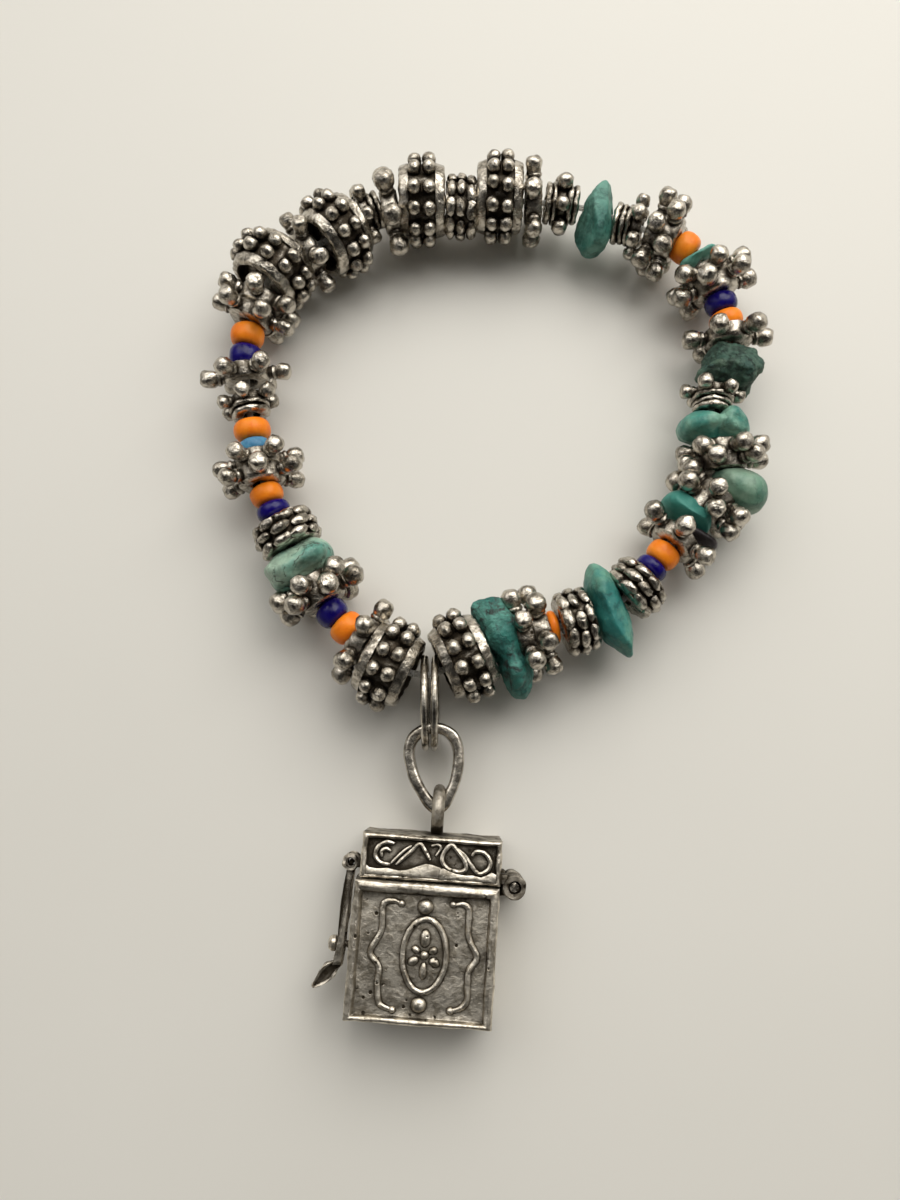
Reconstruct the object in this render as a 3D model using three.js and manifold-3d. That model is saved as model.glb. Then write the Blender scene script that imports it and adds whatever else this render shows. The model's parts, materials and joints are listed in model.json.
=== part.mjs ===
// A beaded stretch bracelet with a small hinged locket charm, lying flat.
// Millimetres, +Z up. The origin is on the surface it lies on, under the middle of the whole piece.
import * as THREE from 'three';
import { mergeVertices } from 'three/addons/utils/BufferGeometryUtils.js';
import Module from 'manifold-3d';

const wasm = await Module();
wasm.setup();

const degree = Math.PI / 180;

// The thread's height lets the widest beads, the drums, touch the surface.
const threadHeight = 6.2;
const cord = { radius: 0.4, sides: 5, steps: 92 };

const drum = {
  length: 5.8, rimRadius: 4.45, rimWidth: 0.95, bandRadius: 4.95,
  recessRadius: 3.3, recessDepth: 1.5, boreRadius: 1.7, sides: 12,
  studs: 10, studRadius: 0.85, studHeight: 1.13, rowSpacing: 2.0,
};
const flower = { arms: 6, orbit: 4.8, ballRadius: 1.2, armWidth: 1.1, hubRadius: 2.7, thickness: 1.3, boreRadius: 1.1 };
const smallFlower = { ...flower, orbit: 3.1, ballRadius: 0.85, armWidth: 0.8, hubRadius: 2.0, thickness: 1.1 };
const barrel = { length: 4.1, ridgeRadius: 4.2, grooveRadius: 3.6, endRadius: 3.4, boreRadius: 1.1, sides: 12 };
const seed = { radius: 2.15, shoulderRadius: 1.55, boreRadius: 0.85, sides: 8 };
const ring = { radius: 2.5, thickness: 0.9, boreRadius: 1.1, sides: 10 };
const stoneBore = { radius: 1.0, sides: 6 };

const jumpRing = { wire: 0.9, outerRadius: 5.9, y: -12.8, x: [-3.05, -1.85] };
const bail = { headRadius: 3.6, length: 11.2, tipRadius: 1.95, band: 1.1, width: 2.4, x: -1.85, y: -20.8, z: 4.5 };

// The locket's own frame: x across, y towards the bail, z up; its origin is the case's middle.
const locket = {
  x: -3.2, y: -41.8, turn: -4, depth: 9, wall: 1.1, frontWall: 1.3, seam: 0.4,
  caseWidth: 17, caseHeight: 15.7, rim: 1.1, panelDepth: 0.4,
  lidLeft: -7.9, lidHeight: 5, lidRoof: 1.1, lidRim: 0.8,
};
const lidEye = { x: 0.6, y: 16.0, radius: 2.55, wire: 1.3 };
const hinge = { x: 10.2, knuckleRadius: 1.4, boreRadius: 0.76, pinRadius: 0.66, gap: 0.2, split: [0.5, 3.1, 5.9, 8.5] };
const hasp = {
  x: -9.3, y: 9.4, earRadius: 0.9, earThickness: 0.8, pinRadius: 0.32, barrelRadius: 0.9, barrelBore: 0.45,
  barrelWidth: 2.2, width: 3.4, bar: 0.8, slotWidth: 1.8, slotTop: 0.75, slotBottom: -3.1,
  studY: -0.3, shankRadius: 0.38, headRadius: 0.68, headLength: 0.8, headX: -10.85, tabDepth: 1.6,
};

const metals = {
  silver: { color: '#a29c8e', roughness: 0.35, metalness: 1 },
  wire: { color: '#8f8a80', roughness: 0.3, metalness: 1 },
  locket: { color: '#9b968a', roughness: 0.4, metalness: 1 },
};
const glass = {
  orange: { color: '#e57d2c', roughness: 0.25, metalness: 0 },
  cobalt: { color: '#27178a', roughness: 0.15, metalness: 0 },
  lightBlue: { color: '#5a97b4', roughness: 0.2, metalness: 0 },
};
const stones = {
  paleTurquoise: { color: '#8cc4ae', roughness: 0.5, metalness: 0 },
  teal: { color: '#3f8f80', roughness: 0.45, metalness: 0 },
  darkGreen: { color: '#46604f', roughness: 0.6, metalness: 0 },
  darkBrown: { color: '#35302f', roughness: 0.5, metalness: 0 },
};
const clear = { elastic: { color: '#d9d7cf', roughness: 0.3, metalness: 0 } };

// The thread's route, clockwise from the dip that carries the charm, in the plane of the beads.
const route = [
  [-2.4, -9.4], [-7.6, -8.1], [-11.3, -4.9], [-14.7, -1.6], [-16.5, 1.2], [-18.4, 4.9], [-20.6, 8.5],
  [-22.9, 12.6], [-24.3, 16.8], [-25.3, 21.2], [-26.1, 25.8], [-26.5, 30.0], [-26.6, 34.2], [-25.8, 38.2],
  [-24.3, 42.6], [-21.8, 45.9], [-18.8, 47.5], [-15.2, 49.6], [-11.8, 52.3], [-7.6, 53.2], [-3.6, 54.3],
  [1.5, 53.7], [6.6, 54.7], [11.4, 54.3], [16, 53.9], [20.4, 52.6], [25, 50.7], [29.2, 49.1], [32.2, 46.8],
  [34.4, 43.3], [35.8, 39.4], [36.5, 35.2], [35.7, 31.2], [34.0, 27.0], [34.1, 22.8], [34.9, 18.8],
  [34.2, 15.0], [31.6, 11.4], [28.3, 7.4], [25.0, 3.7], [22.6, 0.9], [19.4, -1.4], [15.9, -2.7],
  [11.2, -3.9], [6.4, -5.5], [2.0, -6.9],
];

// The beads in order: at is the distance along the thread; side moves a bead outwards; turn is about
// the vertical, nod lifts the leading end and roll is about the bead's own hole, in degrees.
const beads = [
  { name: 'drum_1', kind: 'drum', at: 5.4, roll: 18 },
  { name: 'flower_1', kind: 'flower', at: 9.75, turn: 12, nod: -4, roll: 43 },
  { name: 'seed_pair_1', kind: 'seeds', at: 13.65, lengths: [2.8, 2.7], finish: glass.orange },
  { name: 'flower_pair_1', kind: 'flowerPair', at: 18.3, spacing: 1.6, turn: 2, roll: 42, twist: -24 },
  { name: 'pale_rondelle', kind: 'stone', at: 22.3, turn: -3 },
  { name: 'grain_barrel_1', kind: 'barrel', at: 26.8, turn: -2 },
  { name: 'seed_pair_2', kind: 'seeds', at: 31.5, lengths: [2.1, 2.5], finish: glass.cobalt },
  { name: 'flower_pair_2', kind: 'flowerPair', at: 36.0, spacing: 2.0, turn: -2, nod: -6, roll: 54, twist: -31 },
  { name: 'seed_pair_3', kind: 'seeds', at: 40.4, lengths: [2.0, 2.7], finish: glass.lightBlue },
  { name: 'ringed_flower_1', kind: 'ringed', at: 45.4, rings: [-1.8, -1.0], turn: 7, nod: -4, roll: 0 },
  { name: 'flower_2', kind: 'flower', at: 49.1, turn: 4, nod: 4, roll: 26 },
  { name: 'seed_pair_4', kind: 'seeds', at: 53.05, lengths: [2.9, 3.0], finish: glass.orange },
  { name: 'flower_pair_3', kind: 'flowerPair', at: 58.5, spacing: 2.3, turn: -8, roll: 32, twist: 26 },
  { name: 'drum_2', kind: 'drum', at: 64.35, side: 0.4, turn: 6, nod: -8, roll: 25 },
  { name: 'flower_3', kind: 'flower', at: 69.5, side: -0.3, turn: 9, nod: -3, roll: 16 },
  { name: 'drum_3', kind: 'drum', at: 74.0, turn: 8, nod: -9, roll: 30 },
  { name: 'ringed_flower_2', kind: 'ringed', at: 78.8, rings: [1.0, 1.8], side: 0.1, turn: 1, roll: 30 },
  { name: 'flower_4', kind: 'flower', at: 82.35, side: -0.2, turn: 0, nod: 3, roll: 25 },
  { name: 'drum_4', kind: 'drum', at: 86.75, side: 0.2, turn: -3, roll: 20 },
  { name: 'grain_barrel_2', kind: 'barrel', at: 92.0, side: -0.1, turn: -3 },
  { name: 'drum_5', kind: 'drum', at: 97.25, side: 0.3, turn: -5, roll: 18 },
  { name: 'flower_5', kind: 'flower', at: 102.0, turn: 4, nod: 3, roll: 48 },
  { name: 'ringed_flower_3', kind: 'ringed', at: 105.6, rings: [-1.0, 1.0, 1.8], turn: 1, roll: 30 },
  { name: 'teal_chip', kind: 'stone', at: 110.4, turn: 8 },
  { name: 'ringed_flower_4', kind: 'ringed', at: 116.2, rings: [-2.6, -1.8, -1.0], turn: 5, nod: 8, roll: 0 },
  { name: 'flower_pair_4', kind: 'flowerPair', at: 119.95, spacing: 1.9, turn: -4, nod: 8, roll: 42, twist: -28 },
  { name: 'orange_seed_1', kind: 'seeds', at: 123.35, lengths: [2.3], finish: glass.orange },
  { name: 'thin_teal_disc', kind: 'stone', at: 125.65, turn: -5 },
  { name: 'flower_pair_5', kind: 'flowerPair', at: 129.3, spacing: 1.9, turn: -3, nod: 3, roll: 4, twist: 31 },
  { name: 'seed_pair_5', kind: 'seeds', at: 133.7, lengths: [2.6, 2.3], finish: glass.cobalt },
  { name: 'flower_6', kind: 'flower', at: 137.4, turn: 5, nod: 3, roll: 30 },
  { name: 'green_nugget', kind: 'stone', at: 141.2, turn: 2 },
  { name: 'ringed_flower_5', kind: 'ringed', at: 145.5, rings: [1.0, 1.8], turn: 8, nod: 4, roll: 30 },
  { name: 'pale_nugget', kind: 'stone', at: 150.0, turn: -6 },
  { name: 'flower_pair_6', kind: 'flowerPair', at: 154.1, spacing: 1.7, turn: 4, nod: -5, roll: 18, twist: 20 },
  { name: 'pale_pebble', kind: 'stone', at: 157.3 },
  { name: 'flower_pair_7', kind: 'flowerPair', at: 160.5, spacing: 1.8, side: 0.15, turn: -8, nod: -8, roll: 57, twist: -42 },
  { name: 'oblique_disc', kind: 'stone', at: 163.75, turn: 8, nod: 10 },
  { name: 'brown_nugget', kind: 'stone', at: 165.4, turn: 4 },
  { name: 'flower_7', kind: 'flower', at: 167.4, turn: -5, nod: 8, roll: 54 },
  { name: 'seed_pair_6', kind: 'seeds', at: 170.7, lengths: [2.7, 1.8], finish: glass.orange },
  { name: 'grain_barrel_3', kind: 'barrel', at: 175.35, turn: -5, size: 0.93 },
  { name: 'pointed_chip', kind: 'stone', at: 179.8, turn: -3 },
  { name: 'grain_barrel_4', kind: 'barrel', at: 184.1, turn: 1 },
  { name: 'orange_seed_2', kind: 'seeds', at: 187.1, lengths: [1.3], finish: glass.orange },
  { name: 'flower_pair_8', kind: 'flowerPair', at: 189.9, spacing: 2.2, roll: 23, twist: 21 },
  { name: 'veined_chip', kind: 'stone', at: 193.9, turn: 2 },
  { name: 'drum_6', kind: 'drum', at: 198.8, turn: -3, roll: 19 },
];

// Each stone is one or two rounded lobes: its middle (along, side, up) and its half sizes.
const lobes = [
  { stone: 'pale_rondelle', middle: [0, 0.4, 0], half: [2.1, 4.7, 4.2], finish: stones.paleTurquoise },
  { stone: 'teal_chip', middle: [0, 0, 0], half: [1.7, 5.1, 4.0], finish: stones.teal },
  { stone: 'thin_teal_disc', middle: [0, 0, 0], half: [0.6, 2.9, 2.9], finish: stones.teal },
  { stone: 'green_nugget', middle: [0, 1.2, 0], half: [2.6, 4.5, 3.8], finish: stones.darkGreen },
  { stone: 'pale_nugget', middle: [0, -1.9, 0], half: [2.0, 2.9, 3.4], finish: stones.paleTurquoise },
  { stone: 'pale_nugget', middle: [0, 2.3, 0.2], half: [1.9, 2.9, 3.2], finish: stones.paleTurquoise },
  { stone: 'pale_pebble', middle: [0, 0.2, 0], half: [1.15, 2.2, 2.2], finish: stones.paleTurquoise },
  { stone: 'pale_pebble', middle: [0.4, 3.7, 0], half: [2.6, 2.9, 2.7], finish: stones.paleTurquoise },
  { stone: 'oblique_disc', middle: [0, 0, 0], half: [0.85, 3.3, 3.3], finish: stones.teal },
  { stone: 'brown_nugget', middle: [0, 1.2, 0], half: [0.75, 3.2, 1.9], finish: stones.darkBrown },
  { stone: 'pointed_chip', middle: [0, -1.2, 0], half: [1.7, 5.0, 4.2], finish: stones.teal },
  { stone: 'pointed_chip', middle: [-0.7, 3.2, 0], half: [1.2, 3.2, 2.6], finish: stones.teal },
  { stone: 'veined_chip', middle: [0, -2.2, 0], half: [1.65, 4.0, 3.6], finish: stones.teal },
  { stone: 'veined_chip', middle: [0, 3.2, 0], half: [1.5, 3.3, 3.0], finish: stones.teal },
];

// A closed geometry becomes a solid that can be joined and cut, and goes back to a geometry.
function solid(geometry) {
  const bare = geometry.clone();
  bare.deleteAttribute('normal');
  bare.deleteAttribute('uv');
  const merged = mergeVertices(bare, 1e-4);
  const mesh = new wasm.Mesh({
    numProp: 3,
    vertProperties: new Float32Array(merged.attributes.position.array),
    triVerts: new Uint32Array(merged.index.array),
  });
  return new wasm.Manifold(mesh);
}

function geometryOf(body) {
  const mesh = body.getMesh();
  const geometry = new THREE.BufferGeometry();
  geometry.setAttribute('position', new THREE.BufferAttribute(mesh.vertProperties, 3));
  geometry.setIndex(new THREE.BufferAttribute(mesh.triVerts, 1));
  geometry.computeVertexNormals();
  return geometry;
}

function joined(bodies) {
  return bodies.reduce((whole, body) => whole.add(body));
}

function named(name, geometry, finish) {
  const mesh = new THREE.Mesh(geometry, new THREE.MeshStandardMaterial(finish));
  mesh.name = name;
  return mesh;
}

// Turned about X from a closed profile of [along, radius] points.
function turned(profile, sides) {
  const points = [...profile, profile[0]].map(([along, radius]) => new THREE.Vector2(radius, along));
  return new THREE.LatheGeometry(points, sides).rotateZ(-90 * degree);
}

function rodAlongX(radius, length, sides) {
  return new THREE.CylinderGeometry(radius, radius, length, sides).rotateZ(90 * degree);
}

function rodAlongZ(radius, from, to, x, y, sides = 12) {
  const rod = new THREE.CylinderGeometry(radius, radius, to - from, sides).rotateX(90 * degree);
  return solid(rod.translate(x, y, (from + to) / 2));
}

function block([x0, y0, z0], [x1, y1, z1]) {
  const box = new THREE.BoxGeometry(x1 - x0, y1 - y0, z1 - z0);
  return solid(box.translate((x0 + x1) / 2, (y0 + y1) / 2, (z0 + z1) / 2));
}

function plate(shape, from, to) {
  const options = { depth: to - from, bevelEnabled: false, curveSegments: 5 };
  return solid(new THREE.ExtrudeGeometry(shape, options).translate(0, 0, from));
}

// The thread: a smooth closed curve, measured so that a bead can be strung at a distance along it.
const threadCurve = new THREE.CatmullRomCurve3(
  route.map(([x, y]) => new THREE.Vector3(x, y, threadHeight)), true, 'catmullrom', 0.5);
threadCurve.arcLengthDivisions = 2000;
const threadLength = threadCurve.getLength();

function onThread(at) {
  const along = at / threadLength;
  const point = threadCurve.getPointAt(along);
  const tangent = threadCurve.getTangentAt(along);
  return { point, heading: Math.atan2(tangent.y, tangent.x) };
}

// A closed tube about the thread: a torus whose rings are moved onto the route.
function elasticCord() {
  const tube = new THREE.TorusGeometry(10, 1, cord.sides, cord.steps);
  const position = tube.attributes.position;
  for (let side = 0; side <= cord.sides; side += 1) {
    const around = (side / cord.sides) * 2 * Math.PI;
    for (let step = 0; step <= cord.steps; step += 1) {
      const { point, heading } = onThread(((step % cord.steps) / cord.steps) * threadLength);
      const out = cord.radius * Math.cos(around);
      const index = side * (cord.steps + 1) + step;
      position.setXYZ(index,
        point.x + out * Math.sin(heading),
        point.y - out * Math.cos(heading),
        point.z + cord.radius * Math.sin(around));
    }
  }
  return tube;
}

function drumBody() {
  const half = drum.length / 2;
  const band = half - drum.rimWidth;
  const floor = half - drum.recessDepth;
  const profile = [
    [-floor, drum.boreRadius], [-floor, drum.recessRadius], [-half, drum.recessRadius], [-half, drum.rimRadius],
    [-band, drum.bandRadius], [band, drum.bandRadius],
    [half, drum.rimRadius], [half, drum.recessRadius], [floor, drum.recessRadius], [floor, drum.boreRadius],
  ];
  const parts = [solid(turned(profile, drum.sides))];
  const foot = 0.3;
  for (const along of [-drum.rowSpacing / 2, drum.rowSpacing / 2]) {
    for (let index = 0; index < drum.studs; index += 1) {
      const stud = new THREE.CylinderGeometry(0.5 * drum.studRadius, drum.studRadius, drum.studHeight + foot, 4);
      stud.translate(0, drum.bandRadius + (drum.studHeight - foot) / 2, 0);
      stud.rotateX(Math.PI / 2 + (index / drum.studs) * 2 * Math.PI).translate(along, 0, 0);
      parts.push(solid(stud));
    }
  }
  return joined(parts);
}

// A star-shaped plate with its hole, and a ball on the end of each arm.
function flowerBody(form, at = 0, roll = 0) {
  const step = (2 * Math.PI) / form.arms;
  const star = new THREE.Shape();
  for (let index = 0; index < form.arms; index += 1) {
    const angle = index * step;
    const lean = Math.asin(form.armWidth / 2 / form.orbit);
    for (const [radius, toward] of [[form.orbit, -lean], [form.orbit, lean], [form.hubRadius, step / 2]]) {
      const [x, y] = [radius * Math.cos(angle + toward), radius * Math.sin(angle + toward)];
      if (index === 0 && toward === -lean) star.moveTo(x, y);
      else star.lineTo(x, y);
    }
  }
  const parts = [plate(star, -form.thickness / 2, form.thickness / 2)];
  for (let index = 0; index < form.arms; index += 1) {
    const ball = new THREE.IcosahedronGeometry(form.ballRadius, 0).translate(form.orbit, 0, 0);
    parts.push(solid(ball.rotateZ(index * step)));
  }
  const upright = joined(parts).rotate([0, -90, 0]);
  return upright.rotate([-roll, 0, 0]).translate([at, 0, 0]);
}

// A tube that is cut away from the flowers and rings to leave their hole.
function threadHole(radius, length) {
  return solid(rodAlongX(radius, length, 7));
}

function flowerPairBody(row) {
  const half = row.spacing / 2;
  const hub = rodAlongX(0.8 * flower.hubRadius, row.spacing, 7);
  const pair = joined([flowerBody(flower, -half), flowerBody(flower, half, row.twist), solid(hub)]);
  return pair.subtract(threadHole(flower.boreRadius, 10));
}

// A small flower with thin rings lying against its hub, soldered as one piece.
function ringedFlowerBody(row) {
  const rings = row.rings.map((at) => solid(rodAlongX(ring.radius, ring.thickness, ring.sides).translate(at, 0, 0)));
  return joined([flowerBody(smallFlower), ...rings]).subtract(threadHole(ring.boreRadius, 10));
}

function barrelBody(row) {
  const half = barrel.length / 2;
  const size = row.size ?? 1;
  const ridges = [-half * 0.66, 0, half * 0.66];
  const outline = [[-half, barrel.boreRadius], [-half, barrel.endRadius * size]];
  ridges.forEach((along, index) => {
    outline.push([along, barrel.ridgeRadius * size]);
    if (index < ridges.length - 1) {
      outline.push([(along + ridges[index + 1]) / 2, barrel.grooveRadius * size]);
    }
  });
  outline.push([half, barrel.endRadius * size], [half, barrel.boreRadius]);
  return solid(turned(outline, barrel.sides));
}

function seedsBody(row) {
  const total = row.lengths.reduce((sum, length) => sum + length, 0);
  let start = -total / 2;
  const parts = row.lengths.map((length) => {
    const shoulder = Math.min(0.8, length / 3);
    const end = start + length;
    const profile = [
      [start - 0.04, seed.boreRadius], [start - 0.04, seed.shoulderRadius], [start + shoulder, seed.radius],
      [end - shoulder, seed.radius], [end + 0.04, seed.shoulderRadius], [end + 0.04, seed.boreRadius],
    ];
    start = end;
    return solid(turned(profile, seed.sides));
  });
  return joined(parts);
}

function stoneBody(row) {
  const parts = lobes.filter((lobe) => lobe.stone === row.name).map((lobe) => {
    const pebble = new THREE.IcosahedronGeometry(1, 1).scale(...lobe.half);
    return solid(pebble.translate(...lobe.middle));
  });
  const bore = rodAlongX(stoneBore.radius, 12, stoneBore.sides);
  return joined(parts).subtract(solid(bore));
}

const makers = {
  drum: drumBody,
  flower: () => flowerBody(flower).subtract(threadHole(flower.boreRadius, 10)),
  flowerPair: flowerPairBody,
  ringed: ringedFlowerBody,
  barrel: barrelBody,
  seeds: seedsBody,
  stone: stoneBody,
};

function strungBead(row) {
  const { point, heading } = onThread(row.at);
  const side = row.side ?? 0;
  const lobe = lobes.find((each) => each.stone === row.name);
  const bead = named(row.name, geometryOf(makers[row.kind](row)), row.finish ?? lobe?.finish ?? metals.silver);
  bead.position.set(point.x - side * Math.sin(heading), point.y + side * Math.cos(heading), point.z);
  bead.rotation.set(
    -(row.roll ?? 0) * degree, -(row.nod ?? 0) * degree, heading + (row.turn ?? 0) * degree, 'ZYX');
  return bead;
}

function jumpRingMesh(name, x) {
  const radius = jumpRing.outerRadius - jumpRing.wire / 2;
  const loop = new THREE.TorusGeometry(radius, jumpRing.wire / 2, 6, 20).rotateY(90 * degree);
  const mesh = named(name, loop, metals.wire);
  mesh.position.set(x, jumpRing.y, jumpRing.outerRadius);
  return mesh;
}

// A teardrop outline: round head, straight flanks and a small round tip, inset by a distance.
function teardrop(inset, Form) {
  const head = bail.headRadius - inset;
  const tip = Math.max(bail.tipRadius - inset, 0.15);
  const headY = bail.length / 2 - bail.headRadius;
  const tipY = -bail.length / 2 + bail.tipRadius;
  const lean = Math.asin((head - tip) / (headY - tipY));
  const outline = new Form();
  outline.absarc(0, headY, head, -lean, Math.PI + lean, false);
  outline.absarc(0, tipY, tip, Math.PI + lean, 2 * Math.PI - lean, false);
  return outline;
}

function bailMesh() {
  const outline = teardrop(0, THREE.Shape);
  outline.holes.push(teardrop(bail.band, THREE.Path));
  const body = plate(outline, -bail.width / 2, bail.width / 2);
  const mesh = named('bail', geometryOf(body), metals.wire);
  mesh.position.set(bail.x, bail.y, bail.z);
  mesh.rotation.z = 4 * degree;
  return mesh;
}

const seamY = locket.caseHeight / 2;
const lidY = seamY + locket.seam;
const hingeY = seamY + locket.seam / 2;
const caseHalf = locket.caseWidth / 2;

// One stretch of the hinge: a bored knuckle and the leaf that joins it to the wall beside it.
function knuckle(from, to, leafFrom, leafTo) {
  const leaf = block([caseHalf - 0.1, leafFrom, from], [hinge.x, leafTo, to]);
  const round = rodAlongZ(hinge.knuckleRadius, from, to, hinge.x, hingeY);
  return leaf.add(round).subtract(rodAlongZ(hinge.boreRadius, from - 1, to + 1, hinge.x, hingeY));
}

function caseMesh() {
  const bottom = -locket.caseHeight / 2;
  const front = locket.depth - locket.panelDepth;
  const shell = block([-caseHalf, bottom, 0], [caseHalf, seamY, locket.depth]);
  const hollow = block(
    [-caseHalf + locket.wall, bottom + locket.wall, locket.wall],
    [caseHalf - locket.wall, seamY + 1, locket.depth - locket.frontWall]);
  const panel = block(
    [-caseHalf + locket.rim, bottom + locket.rim, front],
    [caseHalf - locket.rim, seamY - locket.rim, locket.depth + 1]);
  const medallion = new THREE.Shape().absellipse(0, 0, 2.9, 4.5, 0, 2 * Math.PI);
  medallion.holes.push(new THREE.Path().absellipse(0, 0, 2.3, 3.9, 0, 2 * Math.PI));
  const middle = knuckle(
    hinge.split[1] + hinge.gap, hinge.split[2] - hinge.gap, hingeY - hinge.knuckleRadius, seamY);
  const shank = rodAlongX(hasp.shankRadius, 2.4, 8).translate(-caseHalf - 1.1, hasp.studY, locket.depth / 2);
  const head = new THREE.IcosahedronGeometry(hasp.headRadius, 1);
  head.scale(hasp.headLength / 2 / hasp.headRadius, 1, 1).translate(hasp.headX, hasp.studY, locket.depth / 2);
  const body = shell.subtract(hollow).subtract(panel).add(plate(medallion, front - 0.1, locket.depth))
    .add(middle).add(solid(shank)).add(solid(head));
  return named('locket_case', geometryOf(body), metals.locket);
}

function lidMesh() {
  const top = lidY + locket.lidHeight;
  const front = locket.depth - locket.panelDepth;
  const middle = locket.depth / 2;
  const shell = block([locket.lidLeft, lidY, 0], [caseHalf, top, locket.depth]);
  const hollow = block(
    [locket.lidLeft + locket.wall, lidY - 1, locket.wall],
    [caseHalf - locket.wall, top - locket.lidRoof, locket.depth - locket.frontWall]);
  const panel = block(
    [locket.lidLeft + locket.lidRim, lidY + locket.rim, front],
    [caseHalf - locket.lidRim, top - locket.lidRim, locket.depth + 1]);
  const eye = new THREE.TorusGeometry(lidEye.radius, lidEye.wire / 2, 6, 14).rotateY(90 * degree);
  const parts = [shell.subtract(panel), solid(eye.translate(lidEye.x, lidEye.y, middle))];
  for (const [from, to] of [hinge.split.slice(0, 2), hinge.split.slice(2)]) {
    parts.push(knuckle(from, to, lidY, hingeY + hinge.knuckleRadius));
  }
  const reach = hasp.barrelWidth / 2 + 0.3;
  for (const from of [middle - reach - hasp.earThickness, middle + reach]) {
    const to = from + hasp.earThickness;
    parts.push(block([hasp.x, hasp.y - 0.5, from], [locket.lidLeft + 0.1, hasp.y + 0.5, to]));
    parts.push(rodAlongZ(hasp.earRadius, from, to, hasp.x, hasp.y));
  }
  parts.push(rodAlongZ(hasp.pinRadius, middle - reach - 0.1, middle + reach + 0.1, hasp.x, hasp.y, 8));
  return named('locket_lid', geometryOf(joined(parts).subtract(hollow)), metals.locket);
}

function hingePinMesh() {
  const pin = rodAlongZ(hinge.pinRadius, hinge.split[0] + 0.1, hinge.split[3] - 0.1, hinge.x, hingeY);
  return named('hinge_pin', geometryOf(pin), metals.wire);
}

// The hasp hangs from the lid, its slot drops over the stud and its leaf-shaped tab stands away.
function latchMesh() {
  const middle = locket.depth / 2;
  const half = hasp.bar / 2;
  const line = [[-9.3, 9.2], [-9.45, 7.6], [-9.6, 4.0], [-9.75, 0.5], [-9.8, -3.7]];
  const strip = (points) => {
    const shape = new THREE.Shape();
    shape.moveTo(points[0][0] - half, points[0][1]);
    points.slice(1).forEach(([x, y]) => shape.lineTo(x - half, y));
    [...points].reverse().forEach(([x, y]) => shape.lineTo(x + half, y));
    return shape;
  };
  const neck = plate(strip(line.slice(0, 2)), middle - hasp.barrelWidth / 2, middle + hasp.barrelWidth / 2);
  const bar = plate(strip(line.slice(1)), middle - hasp.width / 2, middle + hasp.width / 2);
  const round = rodAlongZ(
    hasp.barrelRadius, middle - hasp.barrelWidth / 2, middle + hasp.barrelWidth / 2, hasp.x, hasp.y);
  const hole = rodAlongZ(hasp.barrelBore, 0, locket.depth, hasp.x, hasp.y);
  const slot = block(
    [-12, hasp.slotBottom, middle - hasp.slotWidth / 2], [-8, hasp.slotTop, middle + hasp.slotWidth / 2]);
  const leaf = new THREE.Shape();
  leaf.moveTo(-9.8, -3.3);
  leaf.quadraticCurveTo(-11.6, -3.4, -12.5, -5.8);
  leaf.quadraticCurveTo(-10.3, -5.3, -9.8, -3.3);
  const tab = plate(leaf, middle - hasp.tabDepth / 2, middle + hasp.tabDepth / 2);
  const body = joined([neck, bar, round]).subtract(hole).subtract(slot).add(tab);
  return named('latch', geometryOf(body), metals.locket);
}

const charm = new THREE.Group();
charm.position.set(locket.x, locket.y, 0);
charm.rotation.z = locket.turn * degree;
charm.add(caseMesh(), lidMesh(), hingePinMesh(), latchMesh());

const group = new THREE.Group();
group.add(named('elastic_cord', elasticCord(), clear.elastic));
group.add(...beads.map(strungBead));
group.add(jumpRingMesh('jump_ring_left', jumpRing.x[0]), jumpRingMesh('jump_ring_right', jumpRing.x[1]));
group.add(bailMesh(), charm);

// The origin moves under the middle of the whole piece, on the surface.
group.updateMatrixWorld(true);
const extent = new THREE.Box3().setFromObject(group, true);
const centre = extent.getCenter(new THREE.Vector3());
group.position.set(-centre.x, -centre.y, -extent.min.z);

export default group;
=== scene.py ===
import json
import math
import random
from bisect import bisect_right

import bmesh
import bpy
from mathutils import Matrix, Vector, noise


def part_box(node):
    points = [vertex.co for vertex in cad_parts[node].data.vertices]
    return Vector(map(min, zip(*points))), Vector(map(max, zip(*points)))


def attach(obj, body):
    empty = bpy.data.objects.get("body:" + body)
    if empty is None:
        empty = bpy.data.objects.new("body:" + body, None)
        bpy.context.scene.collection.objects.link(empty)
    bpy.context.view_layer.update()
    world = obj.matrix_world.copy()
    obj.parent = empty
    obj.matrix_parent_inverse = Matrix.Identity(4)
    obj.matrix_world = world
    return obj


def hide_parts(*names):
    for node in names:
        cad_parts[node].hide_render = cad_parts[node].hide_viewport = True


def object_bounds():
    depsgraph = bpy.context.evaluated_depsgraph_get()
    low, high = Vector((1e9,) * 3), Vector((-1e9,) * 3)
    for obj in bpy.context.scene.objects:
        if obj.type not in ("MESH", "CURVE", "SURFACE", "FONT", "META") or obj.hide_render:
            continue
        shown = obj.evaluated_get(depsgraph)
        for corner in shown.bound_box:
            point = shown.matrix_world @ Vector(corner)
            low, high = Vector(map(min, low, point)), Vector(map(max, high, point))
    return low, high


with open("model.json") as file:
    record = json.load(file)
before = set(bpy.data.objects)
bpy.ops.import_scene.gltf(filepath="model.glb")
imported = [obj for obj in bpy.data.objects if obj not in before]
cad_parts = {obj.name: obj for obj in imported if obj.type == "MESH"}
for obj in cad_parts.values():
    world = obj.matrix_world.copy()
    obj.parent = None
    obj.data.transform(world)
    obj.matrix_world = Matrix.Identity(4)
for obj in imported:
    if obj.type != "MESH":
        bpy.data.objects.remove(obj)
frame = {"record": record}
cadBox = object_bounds()
nodeSlots = {part["node"]: part["material_slot"] for part in frame["record"]["subparts"]}

mm = 0.001
fullTurn = 2 * math.pi
weldDistance = 0.0001  # points nearer than this become one

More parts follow.
